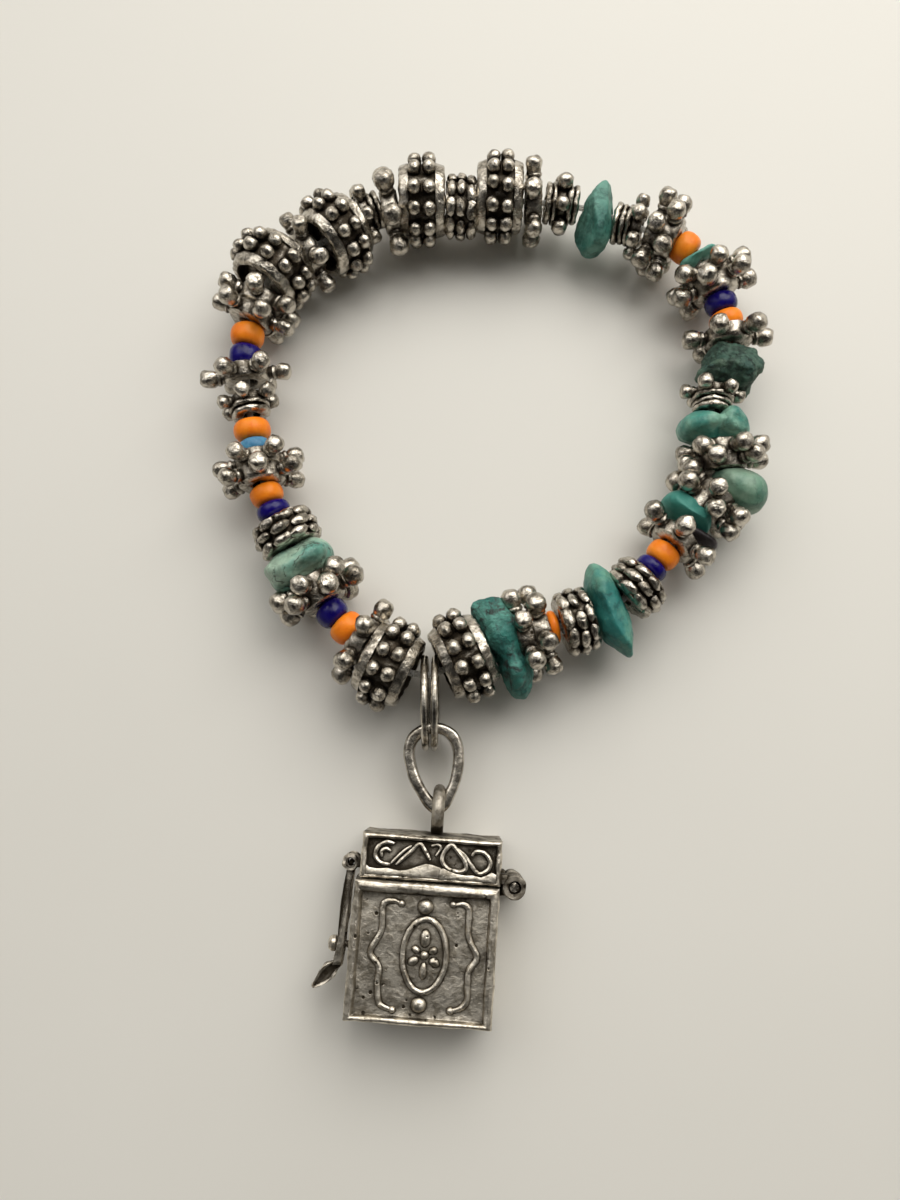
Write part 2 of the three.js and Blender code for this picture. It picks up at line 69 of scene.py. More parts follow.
# The thread's route runs clockwise from the dip that carries the charm. All sizes are in millimetres.
thread = {
    "height": 6.2, "radius": 0.4, "fineSteps": 40, "coarseSteps": 8,
    "route": [(-2.4, -9.4), (-7.6, -8.1), (-11.3, -4.9), (-14.7, -1.6), (-16.5, 1.2), (-18.4, 4.9),
              (-20.6, 8.5), (-22.9, 12.6), (-24.3, 16.8), (-25.3, 21.2), (-26.1, 25.8), (-26.5, 30.0),
              (-26.6, 34.2), (-25.8, 38.2), (-24.3, 42.6), (-21.8, 45.9), (-18.8, 47.5), (-15.2, 49.6),
              (-11.8, 52.3), (-7.6, 53.2), (-3.6, 54.3), (1.5, 53.7), (6.6, 54.7), (11.4, 54.3), (16, 53.9),
              (20.4, 52.6), (25, 50.7), (29.2, 49.1), (32.2, 46.8), (34.4, 43.3), (35.8, 39.4),
              (36.5, 35.2), (35.7, 31.2), (34.0, 27.0), (34.1, 22.8), (34.9, 18.8), (34.2, 15.0),
              (31.6, 11.4), (28.3, 7.4), (25.0, 3.7), (22.6, 0.9), (19.4, -1.4), (15.9, -2.7), (11.2, -3.9),
              (6.4, -5.5), (2.0, -6.9)],
}

# The left jump ring's middle is known in the route's own frame, so it ties that frame to the CAD's.
jumpRing = {
    "middle": (-3.05, -12.8, 5.9), "x": (-3.05, -1.85), "radius": 5.45, "wire": 0.45,
    "lean": (0.8, -0.6), "joint": (2.2, 3.1), "uneven": (0.05, 1.2),
}
ringLow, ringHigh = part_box("jump_ring_left")
loopFrame = Matrix.Translation((ringLow + ringHigh) / 2 / mm - Vector(jumpRing["middle"]))

# The locket's own frame has x across, y towards the bail and z up from its back.
charm = {"middle": (-3.2, -41.8, 0), "turn": -4}
charmFrame = (loopFrame @ Matrix.Translation(charm["middle"])
              @ Matrix.Rotation(math.radians(charm["turn"]), 4, "Z"))


def smoothPath(points, perSpan, closed=False):
    # A curve through every point, in perSpan steps from each to the next.
    points = [Vector(point) for point in points]
    count = len(points)
    path = []
    for index in range(count if closed else count - 1):
        reach = [index + step for step in (-1, 0, 1, 2)]
        if closed:
            a, b, c, d = [points[at % count] for at in reach]
        else:
            a, b, c, d = [points[min(max(at, 0), count - 1)] for at in reach]
        for step in range(perSpan):
            t = step / perSpan
            path.append(0.5 * (2 * b + (c - a) * t + (2 * a - 5 * b + 4 * c - d) * t ** 2
                               + (3 * b - a - 3 * c + d) * t ** 3))
    if not closed:
        path.append(points[-1])
    return path


threadPath = smoothPath(thread["route"], thread["fineSteps"], closed=True)
threadRun = [0.0]  # the distance along the thread at each point of its path
for index, point in enumerate(threadPath):
    threadRun.append(threadRun[-1] + (threadPath[(index + 1) % len(threadPath)] - point).length)


def onThread(at):
    # The place on the thread at a distance along it, and the way the thread heads there.
    index = bisect_right(threadRun, at % threadRun[-1]) - 1
    start, end = threadPath[index], threadPath[(index + 1) % len(threadPath)]
    step = end - start
    share = (at % threadRun[-1] - threadRun[index]) / step.length
    return start + step * share, math.atan2(step.y, step.x)


def beadPlace(row, extraAlong=0.0, extraRoll=0.0):
    # Local x runs along the thread, y points out of the loop and z up.
    middle, heading = onThread(row["at"])
    side = row.get("side", 0)
    spot = (middle.x - side * math.sin(heading), middle.y + side * math.cos(heading), thread["height"])
    return (loopFrame @ Matrix.Translation(spot)
            @ Matrix.Rotation(heading + math.radians(row.get("turn", 0)), 4, "Z")
            @ Matrix.Rotation(-math.radians(row.get("nod", 0)), 4, "Y")
            @ Matrix.Rotation(-math.radians(row.get("roll", 0)), 4, "X")
            @ Matrix.Translation((extraAlong, 0, 0))
            @ Matrix.Rotation(-math.radians(extraRoll), 4, "X"))


def addObject(name, data):
    made = bpy.data.objects.new(name, data)
    bpy.context.scene.collection.objects.link(made)
    return made


def toMesh(bm, name):
    mesh = bpy.data.meshes.new(name)
    bm.to_mesh(mesh)
    bm.free()
    return mesh


def merged(bm, other):
    # A part that was shaped on its own joins the rest of its piece.
    mesh = toMesh(other, "loose")
    bm.from_mesh(mesh)
    bpy.data.meshes.remove(mesh)


def turned(bm, profile, steps, place=Matrix(), closed=True):
    # A profile of (along, radius) is spun about x, then put in place.
    spun = bmesh.new()
    verts = [spun.verts.new((along, 0, radius)) for along, radius in profile]
    for pair in list(zip(verts, verts[1:])) + ([(verts[-1], verts[0])] if closed else []):
        spun.edges.new(pair)
    bmesh.ops.spin(spun, geom=spun.verts[:] + spun.edges[:], cent=(0, 0, 0), axis=(1, 0, 0), dvec=(0, 0, 0),
                   angle=fullTurn, steps=steps, use_merge=True, use_duplicate=False)
    bmesh.ops.remove_doubles(spun, verts=spun.verts, dist=weldDistance)
    bmesh.ops.transform(spun, matrix=place, verts=spun.verts)
    merged(bm, spun)


def mirrored(half):
    # Both halves of a profile that is the same at each end.
    return half + [(-along, radius) for along, radius in reversed(half)]


def ball(bm, middle, size, facets, turn=Matrix()):
    place = Matrix.Translation(middle) @ turn @ Matrix.Diagonal((*size, 1))
    bmesh.ops.create_uvsphere(bm, u_segments=facets[0], v_segments=facets[1], radius=1, matrix=place)


def rod(bm, radius, length, segments, place):
    bmesh.ops.create_cone(bm, cap_ends=True, segments=segments, radius1=radius, radius2=radius, depth=length,
                          matrix=place)


def slab(bm, low, high):
    low, high = Vector(low), Vector(high)
    place = Matrix.Translation((low + high) / 2) @ Matrix.Diagonal((*(high - low), 1))
    return bmesh.ops.create_cube(bm, size=1, matrix=place)["verts"]


def drawnOut(bm, faces, by):
    # The faces are extruded, and a face of the far end comes back.
    grown = bmesh.ops.extrude_face_region(bm, geom=faces)["geom"]
    verts = [part for part in grown if isinstance(part, bmesh.types.BMVert)]
    bmesh.ops.translate(bm, vec=by, verts=verts)
    return next(part for part in grown if isinstance(part, bmesh.types.BMFace))


def plate(outline, low, high):
    # A flat plate of the outline given, from one level up to the other.
    bm = bmesh.new()
    face = bm.faces.new([bm.verts.new((*point, low)) for point in outline])
    drawnOut(bm, [face], (0, 0, high - low))
    bmesh.ops.recalc_face_normals(bm, faces=bm.faces)
    return bm


def evaluatedMesh(loose):
    return bpy.data.meshes.new_from_object(loose.evaluated_get(bpy.context.evaluated_depsgraph_get()))


def worked(bm, *steps):
    # Each step is a modifier and its settings, put on a loose copy, and the worked mesh comes back.
    mesh = toMesh(bm, "loose")
    loose = addObject("loose", mesh)
    for kind, settings in steps:
        modifier = loose.modifiers.new(kind.lower(), kind)
        for key, value in settings.items():
            setattr(modifier, key, value)
    made = evaluatedMesh(loose)
    result = bmesh.new()
    result.from_mesh(made)
    bpy.data.objects.remove(loose)
    bpy.data.meshes.remove(mesh)
    bpy.data.meshes.remove(made)
    return result


def eased(width, segments, angle):
    # The step that bevels every edge sharper than the angle.
    return "BEVEL", {"width": width, "segments": segments, "limit_method": "ANGLE",
                     "angle_limit": math.radians(angle)}


def cutWith(bm, tool, *steps):
    # The tool's shape is taken out of the mesh, and more steps may follow.
    mesh = toMesh(tool, "tool")
    cutter = addObject("tool", mesh)
    cut = ("BOOLEAN", {"operation": "DIFFERENCE", "object": cutter, "solver": "EXACT"})
    result = worked(bm, cut, *steps)
    bpy.data.objects.remove(cutter)
    bpy.data.meshes.remove(mesh)
    return result


def wire(bm, points, radius, perSpan, closed=False, sides=8, taper=1.0, place=Matrix()):
    # A round wire along a smooth line. Taper is how thick its ends are, over a sixth of it each.
    path = smoothPath(points, perSpan, closed)
    curve = bpy.data.curves.new("loose", "CURVE")
    curve.dimensions = "3D"
    curve.bevel_depth = radius
    curve.bevel_resolution = (sides - 4) // 2
    curve.use_fill_caps = True
    spline = curve.splines.new("POLY")
    last = len(path) - 1
    spline.points.add(last)
    for index, (point, spot) in enumerate(zip(spline.points, path)):
        point.co = (*spot, 1)
        point.radius = 1 if closed else taper + (1 - taper) * min(1, min(index, last - index) / last * 6)
    spline.use_cyclic_u = closed
    loose = addObject("loose", curve)
    made = evaluatedMesh(loose)
    made.transform(place)
    bm.from_mesh(made)
    bpy.data.objects.remove(loose)
    bpy.data.curves.remove(curve)
    bpy.data.meshes.remove(made)


def roughen(bm, amount, size, seed, verts=None):
    # Uneven casting: each point moves along its normal by smooth noise.
    bm.normal_update()
    offset = Vector((seed * 7.31, seed * 3.17, seed * 5.77))  # every seed reads another part of the noise
    verts = verts or bm.verts
    moves = [(vert, vert.normal * amount * noise.noise(vert.co / size + offset)) for vert in verts]
    for vert, move in moves:
        vert.co += move


def between(value, low, high):
    # A smooth rise from 0 at low to 1 at high.
    share = min(1, max(0, (value - low) / (high - low)))
    return share * share * (3 - 2 * share)


def shade(bm, darkness):
    # How much patina sits on each point, from a rule on its place; on the bail's inner wall it is painted
    # shade.
    layer = bm.verts.layers.float.get("patinaAndShade") or bm.verts.layers.float.new("patinaAndShade")
    for vert in bm.verts:
        vert[layer] = min(1, max(0, darkness(vert.co)))


def finishPiece(bm, name, place, material, body, nodes, slot, sharp=40):
    bmesh.ops.remove_doubles(bm, verts=bm.verts, dist=weldDistance)
    bmesh.ops.recalc_face_normals(bm, faces=bm.faces)
    bmesh.ops.transform(bm, matrix=Matrix.Scale(mm, 4) @ place, verts=bm.verts)
    for vert in bm.verts:  # nothing stands outside the measured box
        vert.co = Vector(min(max(part, low), high) for part, low, high in zip(vert.co, *cadBox))
    mesh = toMesh(bm, name)
    mesh.polygons.foreach_set("use_smooth", [True] * len(mesh.polygons))
    mesh.set_sharp_from_angle(angle=math.radians(sharp))
    mesh.materials.append(material)
    piece = addObject(name, mesh)
    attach(piece, body)
    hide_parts(*nodes)


def addNode(tree, kind, inputs=None, **settings):
    node = tree.nodes.new(kind)
    for key, value in settings.items():
        setattr(node, key, value)
    for key, value in (inputs or {}).items():
        if isinstance(value, bpy.types.NodeSocket):
            tree.links.new(value, node.inputs[key])
        else:
            node.inputs[key].default_value = value
    return node


def addMath(tree, operation, *values, clamp=False):
    node = addNode(tree, "ShaderNodeMath", dict(enumerate(values)), operation=operation, use_clamp=clamp)
    return node.outputs[0]


def arithmetic(tree):
    # Short names for the sums that a tree's masks are written with.
    def plus(first, second, clamp=False):
        return addMath(tree, "ADD", first, second, clamp=clamp)

    def minus(first, second):
        return addMath(tree, "SUBTRACT", first, second)

    def times(first, second, clamp=False):
        return addMath(tree, "MULTIPLY", first, second, clamp=clamp)

    return plus, minus, times


def addMix(tree, share, first, second):
    return addNode(tree, "ShaderNodeMix", {0: share, 6: first, 7: second}, data_type="RGBA").outputs[2]


def addNoise(tree, coordinates, scale, detail=3.0, roughness=0.5, distortion=0.0):
    return addNode(tree, "ShaderNodeTexNoise", {
        "Vector": coordinates, "Scale": scale, "Detail": detail, "Roughness": roughness,
        "Distortion": distortion}).outputs["Fac"]


def addRange(tree, value, low, high, toLow=0.0, toHigh=1.0):
    return addNode(tree, "ShaderNodeMapRange", {
        "Value": value, "From Min": low, "From Max": high, "To Min": toLow, "To Max": toHigh},
        interpolation_type="SMOOTHSTEP").outputs[0]


def addBump(tree, height, distance, strength):
    bump = addNode(tree, "ShaderNodeBump", {"Strength": strength, "Distance": distance, "Height": height})
    return bump.outputs[0]


def plainMaterial(name):
    # A new material with its nodes, and its shader's inputs.
    material = bpy.data.materials.new(name)
    material.use_nodes = True
    return material, material.node_tree, material.node_tree.nodes["Principled BSDF"].inputs


def newGroup(name, inputs):
    # Every finish has its own inputs, and gives a colour, a roughness and a normal.
    group = bpy.data.node_groups.new(name, "ShaderNodeTree")
    for label, kind, value in inputs:
        socket = group.interface.new_socket(label, in_out="INPUT", socket_type="NodeSocket" + kind)
        socket.default_value = value
    for label, kind in (("Color", "Color"), ("Roughness", "Float"), ("Normal", "Vector")):
        group.interface.new_socket(label, in_out="OUTPUT", socket_type="NodeSocket" + kind)
    return group, addNode(group, "NodeGroupInput").outputs


def closeGroup(group, color, rough, normal):
    addNode(group, "NodeGroupOutput", {"Color": color, "Roughness": rough, "Normal": normal})
    return group


# Scales are in waves to the metre. A group's numbers say how much of each mask goes where.
metalGrain = {"broad": 420, "mottle": 1250, "fine": 2700, "pits": 1000, "shelter": 0.0011}


def agedMetalGroup():
    # Polished high spots, dull tarnish between and dark patina in the recesses.
    group, given = newGroup("agedMetal", [
        ("Bright", "Color", (0.8, 0.77, 0.7, 1)),
        ("Tarnish", "Color", (0.45, 0.4, 0.32, 1)),
        ("Patina", "Color", (0.03, 0.025, 0.018, 1)),
        ("Tarnish Amount", "Float", 0.3),
        ("Patina Reach", "Float", 1.0),
        ("Polish", "Float", 0.2),
        ("Pitting", "Float", 0.3),
        ("Grain Depth", "Float", 0.00006),
    ])
    plus, minus, times = arithmetic(group)
    place = addNode(group, "ShaderNodeTexCoord").outputs["Object"]
    broad = addNoise(group, place, metalGrain["broad"], 4, 0.6)
    mottle = addNoise(group, place, metalGrain["mottle"], 4, 0.6, 0.4)
    fine = addNoise(group, place, metalGrain["fine"], 5, 0.65)
    pits = addNode(group, "ShaderNodeTexVoronoi", {"Vector": place, "Scale": metalGrain["pits"]})
    pitted = times(addRange(group, pits.outputs["Distance"], 0.3, 0.12), addRange(group, broad, 0.5, 0.62))
    pitted = times(pitted, given["Pitting"])
    openness = addNode(group, "ShaderNodeAmbientOcclusion", {"Distance": metalGrain["shelter"]}, samples=6,
                    only_local=True).outputs["AO"]
    sheltered = minus(1.0, openness)
    # The per-point patina, which on the bail's inner wall is painted shade.
    patinaAndShade = addNode(group, "ShaderNodeAttribute", attribute_name="patinaAndShade").outputs["Fac"]
    depth = times(plus(times(sheltered, 1.25), times(patinaAndShade, 0.8)), given["Patina Reach"])
    depth = plus(plus(depth, times(minus(broad, 0.5), 0.55)), pitted)
    patina = addRange(group, depth, 0.3, 0.82)
    stain = plus(plus(times(broad, 0.35), times(mottle, 0.65)), times(sheltered, 0.4))
    dull = times(addRange(group, stain, 0.44, 0.62), given["Tarnish Amount"])
    color = addMix(group, patina, addMix(group, dull, given["Bright"], given["Tarnish"]), given["Patina"])
    rough = plus(plus(given["Polish"], times(fine, 0.12)), times(patina, 0.35), clamp=True)
    height = minus(plus(times(fine, 0.7), times(mottle, 1.3)), pitted)
    return closeGroup(group, color, rough, addBump(group, height, given["Grain Depth"], 0.6))


stoneGrain = {"drift": 260, "sway": 0.0035, "patches": 230, "blotches": 520, "stains": 430, "grain": 2400}


def veinedStoneGroup():
    # Drifting patches of two colours, a third in blotches, and a net of dark matrix.
    group, given = newGroup("veinedStone", [
        ("Body", "Color", (0.1, 0.35, 0.3, 1)),
        ("Pale", "Color", (0.3, 0.55, 0.45, 1)),
        ("Deep", "Color", (0.03, 0.15, 0.13, 1)),
        ("Vein", "Color", (0.03, 0.04, 0.03, 1)),
        ("Pale Amount", "Float", 0.5),
        ("Vein Amount", "Float", 0.4),
        ("Vein Scale", "Float", 300.0),
        ("Stain Amount", "Float", 0.0),
        ("Grain Depth", "Float", 0.00008),
        ("Shift", "Vector", (0, 0, 0)),
        ("Roughness", "Float", 0.45),
    ])
    plus, minus, times = arithmetic(group)
    place = addNode(group, "ShaderNodeTexCoord").outputs["Object"]
    place = addNode(group, "ShaderNodeMapping", {"Vector": place, "Location": given["Shift"]}).outputs[0]
    drift = addNode(group, "ShaderNodeTexNoise", {"Vector": place, "Scale": stoneGrain["drift"], "Detail": 3})
    swirl = addNode(group, "ShaderNodeVectorMath", {0: drift.outputs["Color"], 1: [stoneGrain["sway"]] * 3},
                    operation="MULTIPLY").outputs[0]
    bent = addNode(group, "ShaderNodeVectorMath", {0: place, 1: swirl}, operation="ADD").outputs[0]
    patches = addNoise(group, bent, stoneGrain["patches"], 4, 0.55)
    blotches = addNoise(group, bent, stoneGrain["blotches"], 5, 0.6)
    grain = addNoise(group, place, stoneGrain["grain"], 4, 0.6)
    net = addNoise(group, bent, given["Vein Scale"], 4, 0.55)
    spots = addNoise(group, bent, stoneGrain["stains"], 6, 0.7)

    color = addMix(group, addRange(group, blotches, 0.42, 0.64), given["Body"], given["Deep"])
    paleness = plus(patches, times(minus(given["Pale Amount"], 0.5), 0.5))
    color = addMix(group, addRange(group, paleness, 0.4, 0.66), color, given["Pale"])
    lines = addRange(group, addMath(group, "ABSOLUTE", minus(net, 0.5)), 0.035, 0.0)
    veins = times(times(lines, addRange(group, blotches, 0.4, 0.56)), given["Vein Amount"], clamp=True)
    stains = times(addRange(group, spots, 0.46, 0.62), given["Stain Amount"], clamp=True)
    color = addMix(group, addMath(group, "MAXIMUM", veins, stains), color, given["Vein"])
    color = addMix(group, times(addRange(group, grain, 0.52, 0.72), 0.32), color, given["Pale"])
    rough = plus(given["Roughness"], times(minus(blotches, 0.5), 0.3), clamp=True)
    height = minus(plus(times(grain, 0.7), blotches), veins)
    return closeGroup(group, color, rough, addBump(group, height, given["Grain Depth"], 0.7))


agedMetal = agedMetalGroup()
veinedStone = veinedStoneGroup()


def newMaterial(name, group, look, surface):
    # The look goes to the finish's inputs, and what is the same all over to the shader's own.
    material, tree, shader = plainMaterial(name)
    finish = addNode(tree, "ShaderNodeGroup", node_tree=group)
    for key, value in look.items():
        socket = finish.inputs[key]
        socket.default_value = (*value, 1) if socket.type == "RGBA" else value
    for source, target in (("Color", "Base Color"), ("Roughness", "Roughness"), ("Normal", "Normal")):
        tree.links.new(finish.outputs[source], shader[target])
    for key, value in surface.items():
        shader[key].default_value = value
    return material


castSilver = newMaterial("castSilver", agedMetal, {
    "Bright": (0.64, 0.59, 0.51), "Tarnish": (0.13, 0.11, 0.083), "Patina": (0.045, 0.035, 0.024),
    "Tarnish Amount": 0.85, "Patina Reach": 1.0, "Polish": 0.15, "Pitting": 0.5, "Grain Depth": 0.00015,
}, {"Metallic": 1.0})
wireSilver = newMaterial("wireSilver", agedMetal, {
    "Bright": (0.58, 0.535, 0.465), "Tarnish": (0.12, 0.101, 0.076), "Patina": (0.03, 0.024, 0.017),
    "Tarnish Amount": 0.8, "Patina Reach": 1.0, "Polish": 0.16, "Pitting": 0.1, "Grain Depth": 0.00005,
}, {"Metallic": 1.0})
locketSilver = newMaterial("locketSilver", agedMetal, {
    "Bright": (0.76, 0.7, 0.6), "Tarnish": (0.31, 0.27, 0.208), "Patina": (0.045, 0.036, 0.025),
    "Tarnish Amount": 0.85, "Patina Reach": 1.5, "Polish": 0.31, "Pitting": 0.9, "Grain Depth": 0.00009,
}, {"Metallic": 1.0})


def glassMaterial(name, color, deep, rough):
    # Pressed glass, nearly opaque, with faint streaks.
    return newMaterial(name, veinedStone, {
        "Body": color, "Pale": [min(1, part * 1.15 + 0.01) for part in color], "Deep": deep, "Vein": deep,
        "Pale Amount": 0.35, "Vein Amount": 0.12, "Vein Scale": 700, "Roughness": rough,
    }, {"Coat Weight": 0.1, "Coat Roughness": 0.05, "Specular IOR Level": 0.25})


orangeGlass = glassMaterial("orangeGlass", (1.0, 0.265, 0.012), (0.92, 0.205, 0.008), 0.4)
cobaltGlass = glassMaterial("cobaltGlass", (0.005, 0.001, 0.13), (0.003, 0.0005, 0.08), 0.12)
paleBlueGlass = glassMaterial("paleBlueGlass", (0.09, 0.29, 0.46), (0.05, 0.18, 0.33), 0.3)
glasses = {  # each with its slot in the record
    "orange": (orangeGlass, "orange_glass"),
    "cobalt": (cobaltGlass, "cobalt_glass"),
    "paleBlue": (paleBlueGlass, "light_blue_glass"),
}
print("finishes made")

# The beads in order: at is the distance along the thread, side moves a bead outwards, turn is about the
# vertical, nod lifts the leading end and roll is about the bead's own hole. Ball is a flower's ball radius.
beads = [
    {"name": "drum_1", "kind": "drum", "at": 5.4, "roll": 18},
    {"name": "flower_1", "kind": "flower", "at": 9.75, "turn": 12, "nod": -4, "roll": 43, "ball": 1.22},
    {"name": "seed_pair_1", "kind": "seeds", "at": 13.65, "lengths": [2.8, 2.7],
     "glass": ["orange", "cobalt"]},
    {"name": "flower_pair_1", "kind": "pair", "at": 18.3, "spacing": 1.6, "turn": 2, "roll": 42,
     "twist": -24, "ball": 1.25},
    {"name": "pale_rondelle", "kind": "stone", "at": 22.3, "turn": -3},
    {"name": "grain_barrel_1", "kind": "barrel", "at": 26.8, "turn": -2},
    {"name": "seed_pair_2", "kind": "seeds", "at": 31.5, "lengths": [2.1, 2.5],
     "glass": ["cobalt", "orange"]},
    {"name": "flower_pair_2", "kind": "pair", "at": 36.0, "spacing": 2.0, "turn": -2, "nod": -6, "roll": 54,
     "twist": -31, "ball": 1.12},
    {"name": "seed_pair_3", "kind": "seeds", "at": 40.4, "lengths": [2.0, 2.7], "sizes": [1, 1.13],
     "glass": ["paleBlue", "orange"]},
    {"name": "ringed_flower_1", "kind": "ringed", "at": 45.4, "rings": [-1.8, -1.0], "turn": 7, "nod": -4,
     "roll": 0},
    {"name": "flower_2", "kind": "flower", "at": 49.1, "turn": 4, "nod": 4, "roll": 26, "ball": 1.12},
    {"name": "seed_pair_4", "kind": "seeds", "at": 53.05, "lengths": [2.9, 3.0],
     "glass": ["cobalt", "orange"]},
    {"name": "flower_pair_3", "kind": "pair", "at": 58.5, "spacing": 2.3, "turn": -8, "roll": 32,
     "twist": 26, "ball": 1.15},
    {"name": "drum_2", "kind": "drum", "at": 64.35, "side": 0.4, "turn": 6, "nod": -8, "roll": 25},
    {"name": "flower_3", "kind": "flower", "at": 69.5, "side": -0.3, "turn": 9, "nod": -3, "roll": 16,
     "ball": 1.08},
    {"name": "drum_3", "kind": "drum", "at": 74.0, "turn": 8, "nod": -9, "roll": 30},
    {"name": "ringed_flower_2", "kind": "ringed", "at": 78.8, "rings": [1.0, 1.8], "side": 0.1, "turn": 1,
     "roll": 30},
    {"name": "flower_4", "kind": "flower", "at": 82.35, "side": -0.2, "turn": 0, "nod": 3, "roll": 25,
     "ball": 1.3},
    {"name": "drum_4", "kind": "drum", "at": 86.75, "side": 0.2, "turn": -3, "roll": 20},
    {"name": "grain_barrel_2", "kind": "barrel", "at": 92.0, "side": -0.1, "turn": -3},
    {"name": "drum_5", "kind": "drum", "at": 97.25, "side": 0.3, "turn": -5, "roll": 18},
    {"name": "flower_5", "kind": "flower", "at": 101.8, "turn": 4, "nod": 3, "roll": 48, "ball": 1.12},
    {"name": "ringed_flower_3", "kind": "ringed", "at": 105.6, "rings": [-1.8, -1.0, 1.0, 1.8], "turn": 1,
     "roll": 30},
    {"name": "teal_chip", "kind": "stone", "at": 110.4, "turn": 8},
    {"name": "ringed_flower_4", "kind": "ringed", "at": 116.2, "rings": [-2.6, -1.8, -1.0], "turn": 5,
     "nod": 8, "roll": 0},
    {"name": "flower_pair_4", "kind": "pair", "at": 119.95, "spacing": 1.9, "turn": -4, "nod": 8,
     "roll": 42, "twist": -28, "ball": 1.18},
    {"name": "orange_seed_1", "kind": "seeds", "at": 123.35, "lengths": [2.9], "glass": ["orange"]},
    {"name": "thin_teal_disc", "kind": "stone", "at": 125.65, "turn": -5},
    {"name": "flower_pair_5", "kind": "pair", "at": 129.3, "spacing": 1.9, "turn": -3, "nod": 3, "roll": 4,
     "twist": 31, "ball": 1.2},
    {"name": "seed_pair_5", "kind": "seeds", "at": 133.7, "lengths": [2.6, 2.3],
     "glass": ["cobalt", "orange"]},
    {"name": "flower_6", "kind": "flower", "at": 137.4, "turn": 5, "nod": 3, "roll": 30, "ball": 1.2},
    {"name": "green_nugget", "kind": "stone", "at": 141.2, "turn": 2},
    {"name": "ringed_flower_5", "kind": "ringed", "at": 145.5, "rings": [1.0, 1.8, 2.5], "turn": 8,
     "nod": 4, "roll": 30},
    {"name": "pale_nugget", "kind": "stone", "at": 150.0, "turn": -6},
    {"name": "flower_pair_6", "kind": "pair", "at": 154.1, "spacing": 1.7, "turn": 4, "nod": -5, "roll": 18,
     "twist": 20, "ball": 1.15},
    {"name": "pale_pebble", "kind": "stone", "at": 157.3},
    {"name": "flower_pair_7", "kind": "pair", "at": 160.5, "spacing": 1.8, "side": 0.15, "turn": -8,
     "nod": -8, "roll": 57, "twist": -42, "ball": 1.22},
    {"name": "oblique_disc", "kind": "stone", "at": 163.75, "turn": 8, "nod": 10},
    {"name": "brown_nugget", "kind": "stone", "at": 165.4, "turn": 4},
    {"name": "flower_7", "kind": "flower", "at": 167.4, "turn": -5, "nod": 8, "roll": 54, "ball": 1.2},
    {"name": "seed_pair_6", "kind": "seeds", "at": 170.7, "lengths": [2.7, 1.8],
     "glass": ["orange", "cobalt"]},
    {"name": "grain_barrel_3", "kind": "barrel", "at": 175.35, "turn": -5, "size": 0.93},
    {"name": "pointed_chip", "kind": "stone", "at": 179.8, "turn": -3},
    {"name": "grain_barrel_4", "kind": "barrel", "at": 184.1, "turn": 1},
    {"name": "orange_seed_2", "kind": "seeds", "at": 187.1, "lengths": [1.3], "glass": ["orange"]},
    {"name": "flower_pair_8", "kind": "pair", "at": 189.9, "spacing": 2.2, "roll": 23, "twist": 21,
     "ball": 1.15},
    {"name": "veined_chip", "kind": "stone", "at": 193.9, "turn": 2},
    {"name": "drum_6", "kind": "drum", "at": 198.8, "turn": -3, "roll": 19},
]

studFacets = (10, 7)

drum = {
    "length": 6.1, "rimRadius": 4.4, "rimWidth": 1.3, "shoulder": 4.72, "bandRadius": 4.5,
    "recessRadius": 3.4, "recessDepth": 1.5, "boreRadius": 1.7, "steps": 96,
    "studs": 12, "studSize": (0.93, 1.03, 0.96), "studOrbit": 5.12, "rowSpacing": 1.85,
    "studLean": 0.04, "studStray": 0.06, "studSwell": (0.93, 1.07),
    "uneven": (0.1, 1.3), "bandUneven": (0.3, 0.6), "studUneven": (0.14, 0.7),
}


def makeDrum(draw, seed):
    half = drum["length"] / 2
    band = half - drum["rimWidth"]
    floor = half - drum["recessDepth"]
    recess, rim = drum["recessRadius"], drum["rimRadius"]
    shoulder, inner = drum["shoulder"], drum["bandRadius"]
    end = [
        (floor, drum["boreRadius"]), (floor, recess - 0.2), (floor + 0.2, recess), (half - 0.2, recess),
        (half - 0.03, recess + 0.12), (half, recess + 0.35), (half - 0.02, rim - 0.25),
        (half - 0.14, rim - 0.04), (half - 0.4, rim + 0.06), (band + 0.3, shoulder - 0.06),
        (band + 0.08, shoulder), (band - 0.04, shoulder - 0.07), (band - 0.1, inner),
        (1.2, inner), (0.8, inner), (0.4, inner),
    ]
    bm = bmesh.new()
    turned(bm, mirrored(end), drum["steps"])
    roughen(bm, *drum["uneven"], seed)
    roughen(bm, *drum["bandUneven"], seed + 30, [vert for vert in bm.verts if abs(vert.co.x) < band - 0.15])
    for row in (-0.5, 0.5):
        for index in range(drum["studs"]):
            lean = draw.uniform(-drum["studLean"], drum["studLean"])
            swell = draw.uniform(*drum["studSwell"])
            stray = draw.uniform(-drum["studStray"], drum["studStray"])
            turn = Matrix.Rotation(-fullTurn * index / drum["studs"] + lean, 4, "X")
            middle = turn @ Vector((row * drum["rowSpacing"] + stray, 0, drum["studOrbit"]))
            ball(bm, middle, [part * swell for part in drum["studSize"]], studFacets, turn)
    roughen(bm, *drum["studUneven"], seed + 50)

    def patinaAndShade(co):
        radius = co.yz.length
        if abs(co.x) < band - 0.05:  # dark between the studs
            return 0.62 - 0.62 * between(radius, inner - 0.12, inner + 0.75)
        return 0.16 + between(recess + 0.35 - radius, 0, 0.3)  # and dark in the hollow ends

    shade(bm, patinaAndShade)
    return bm


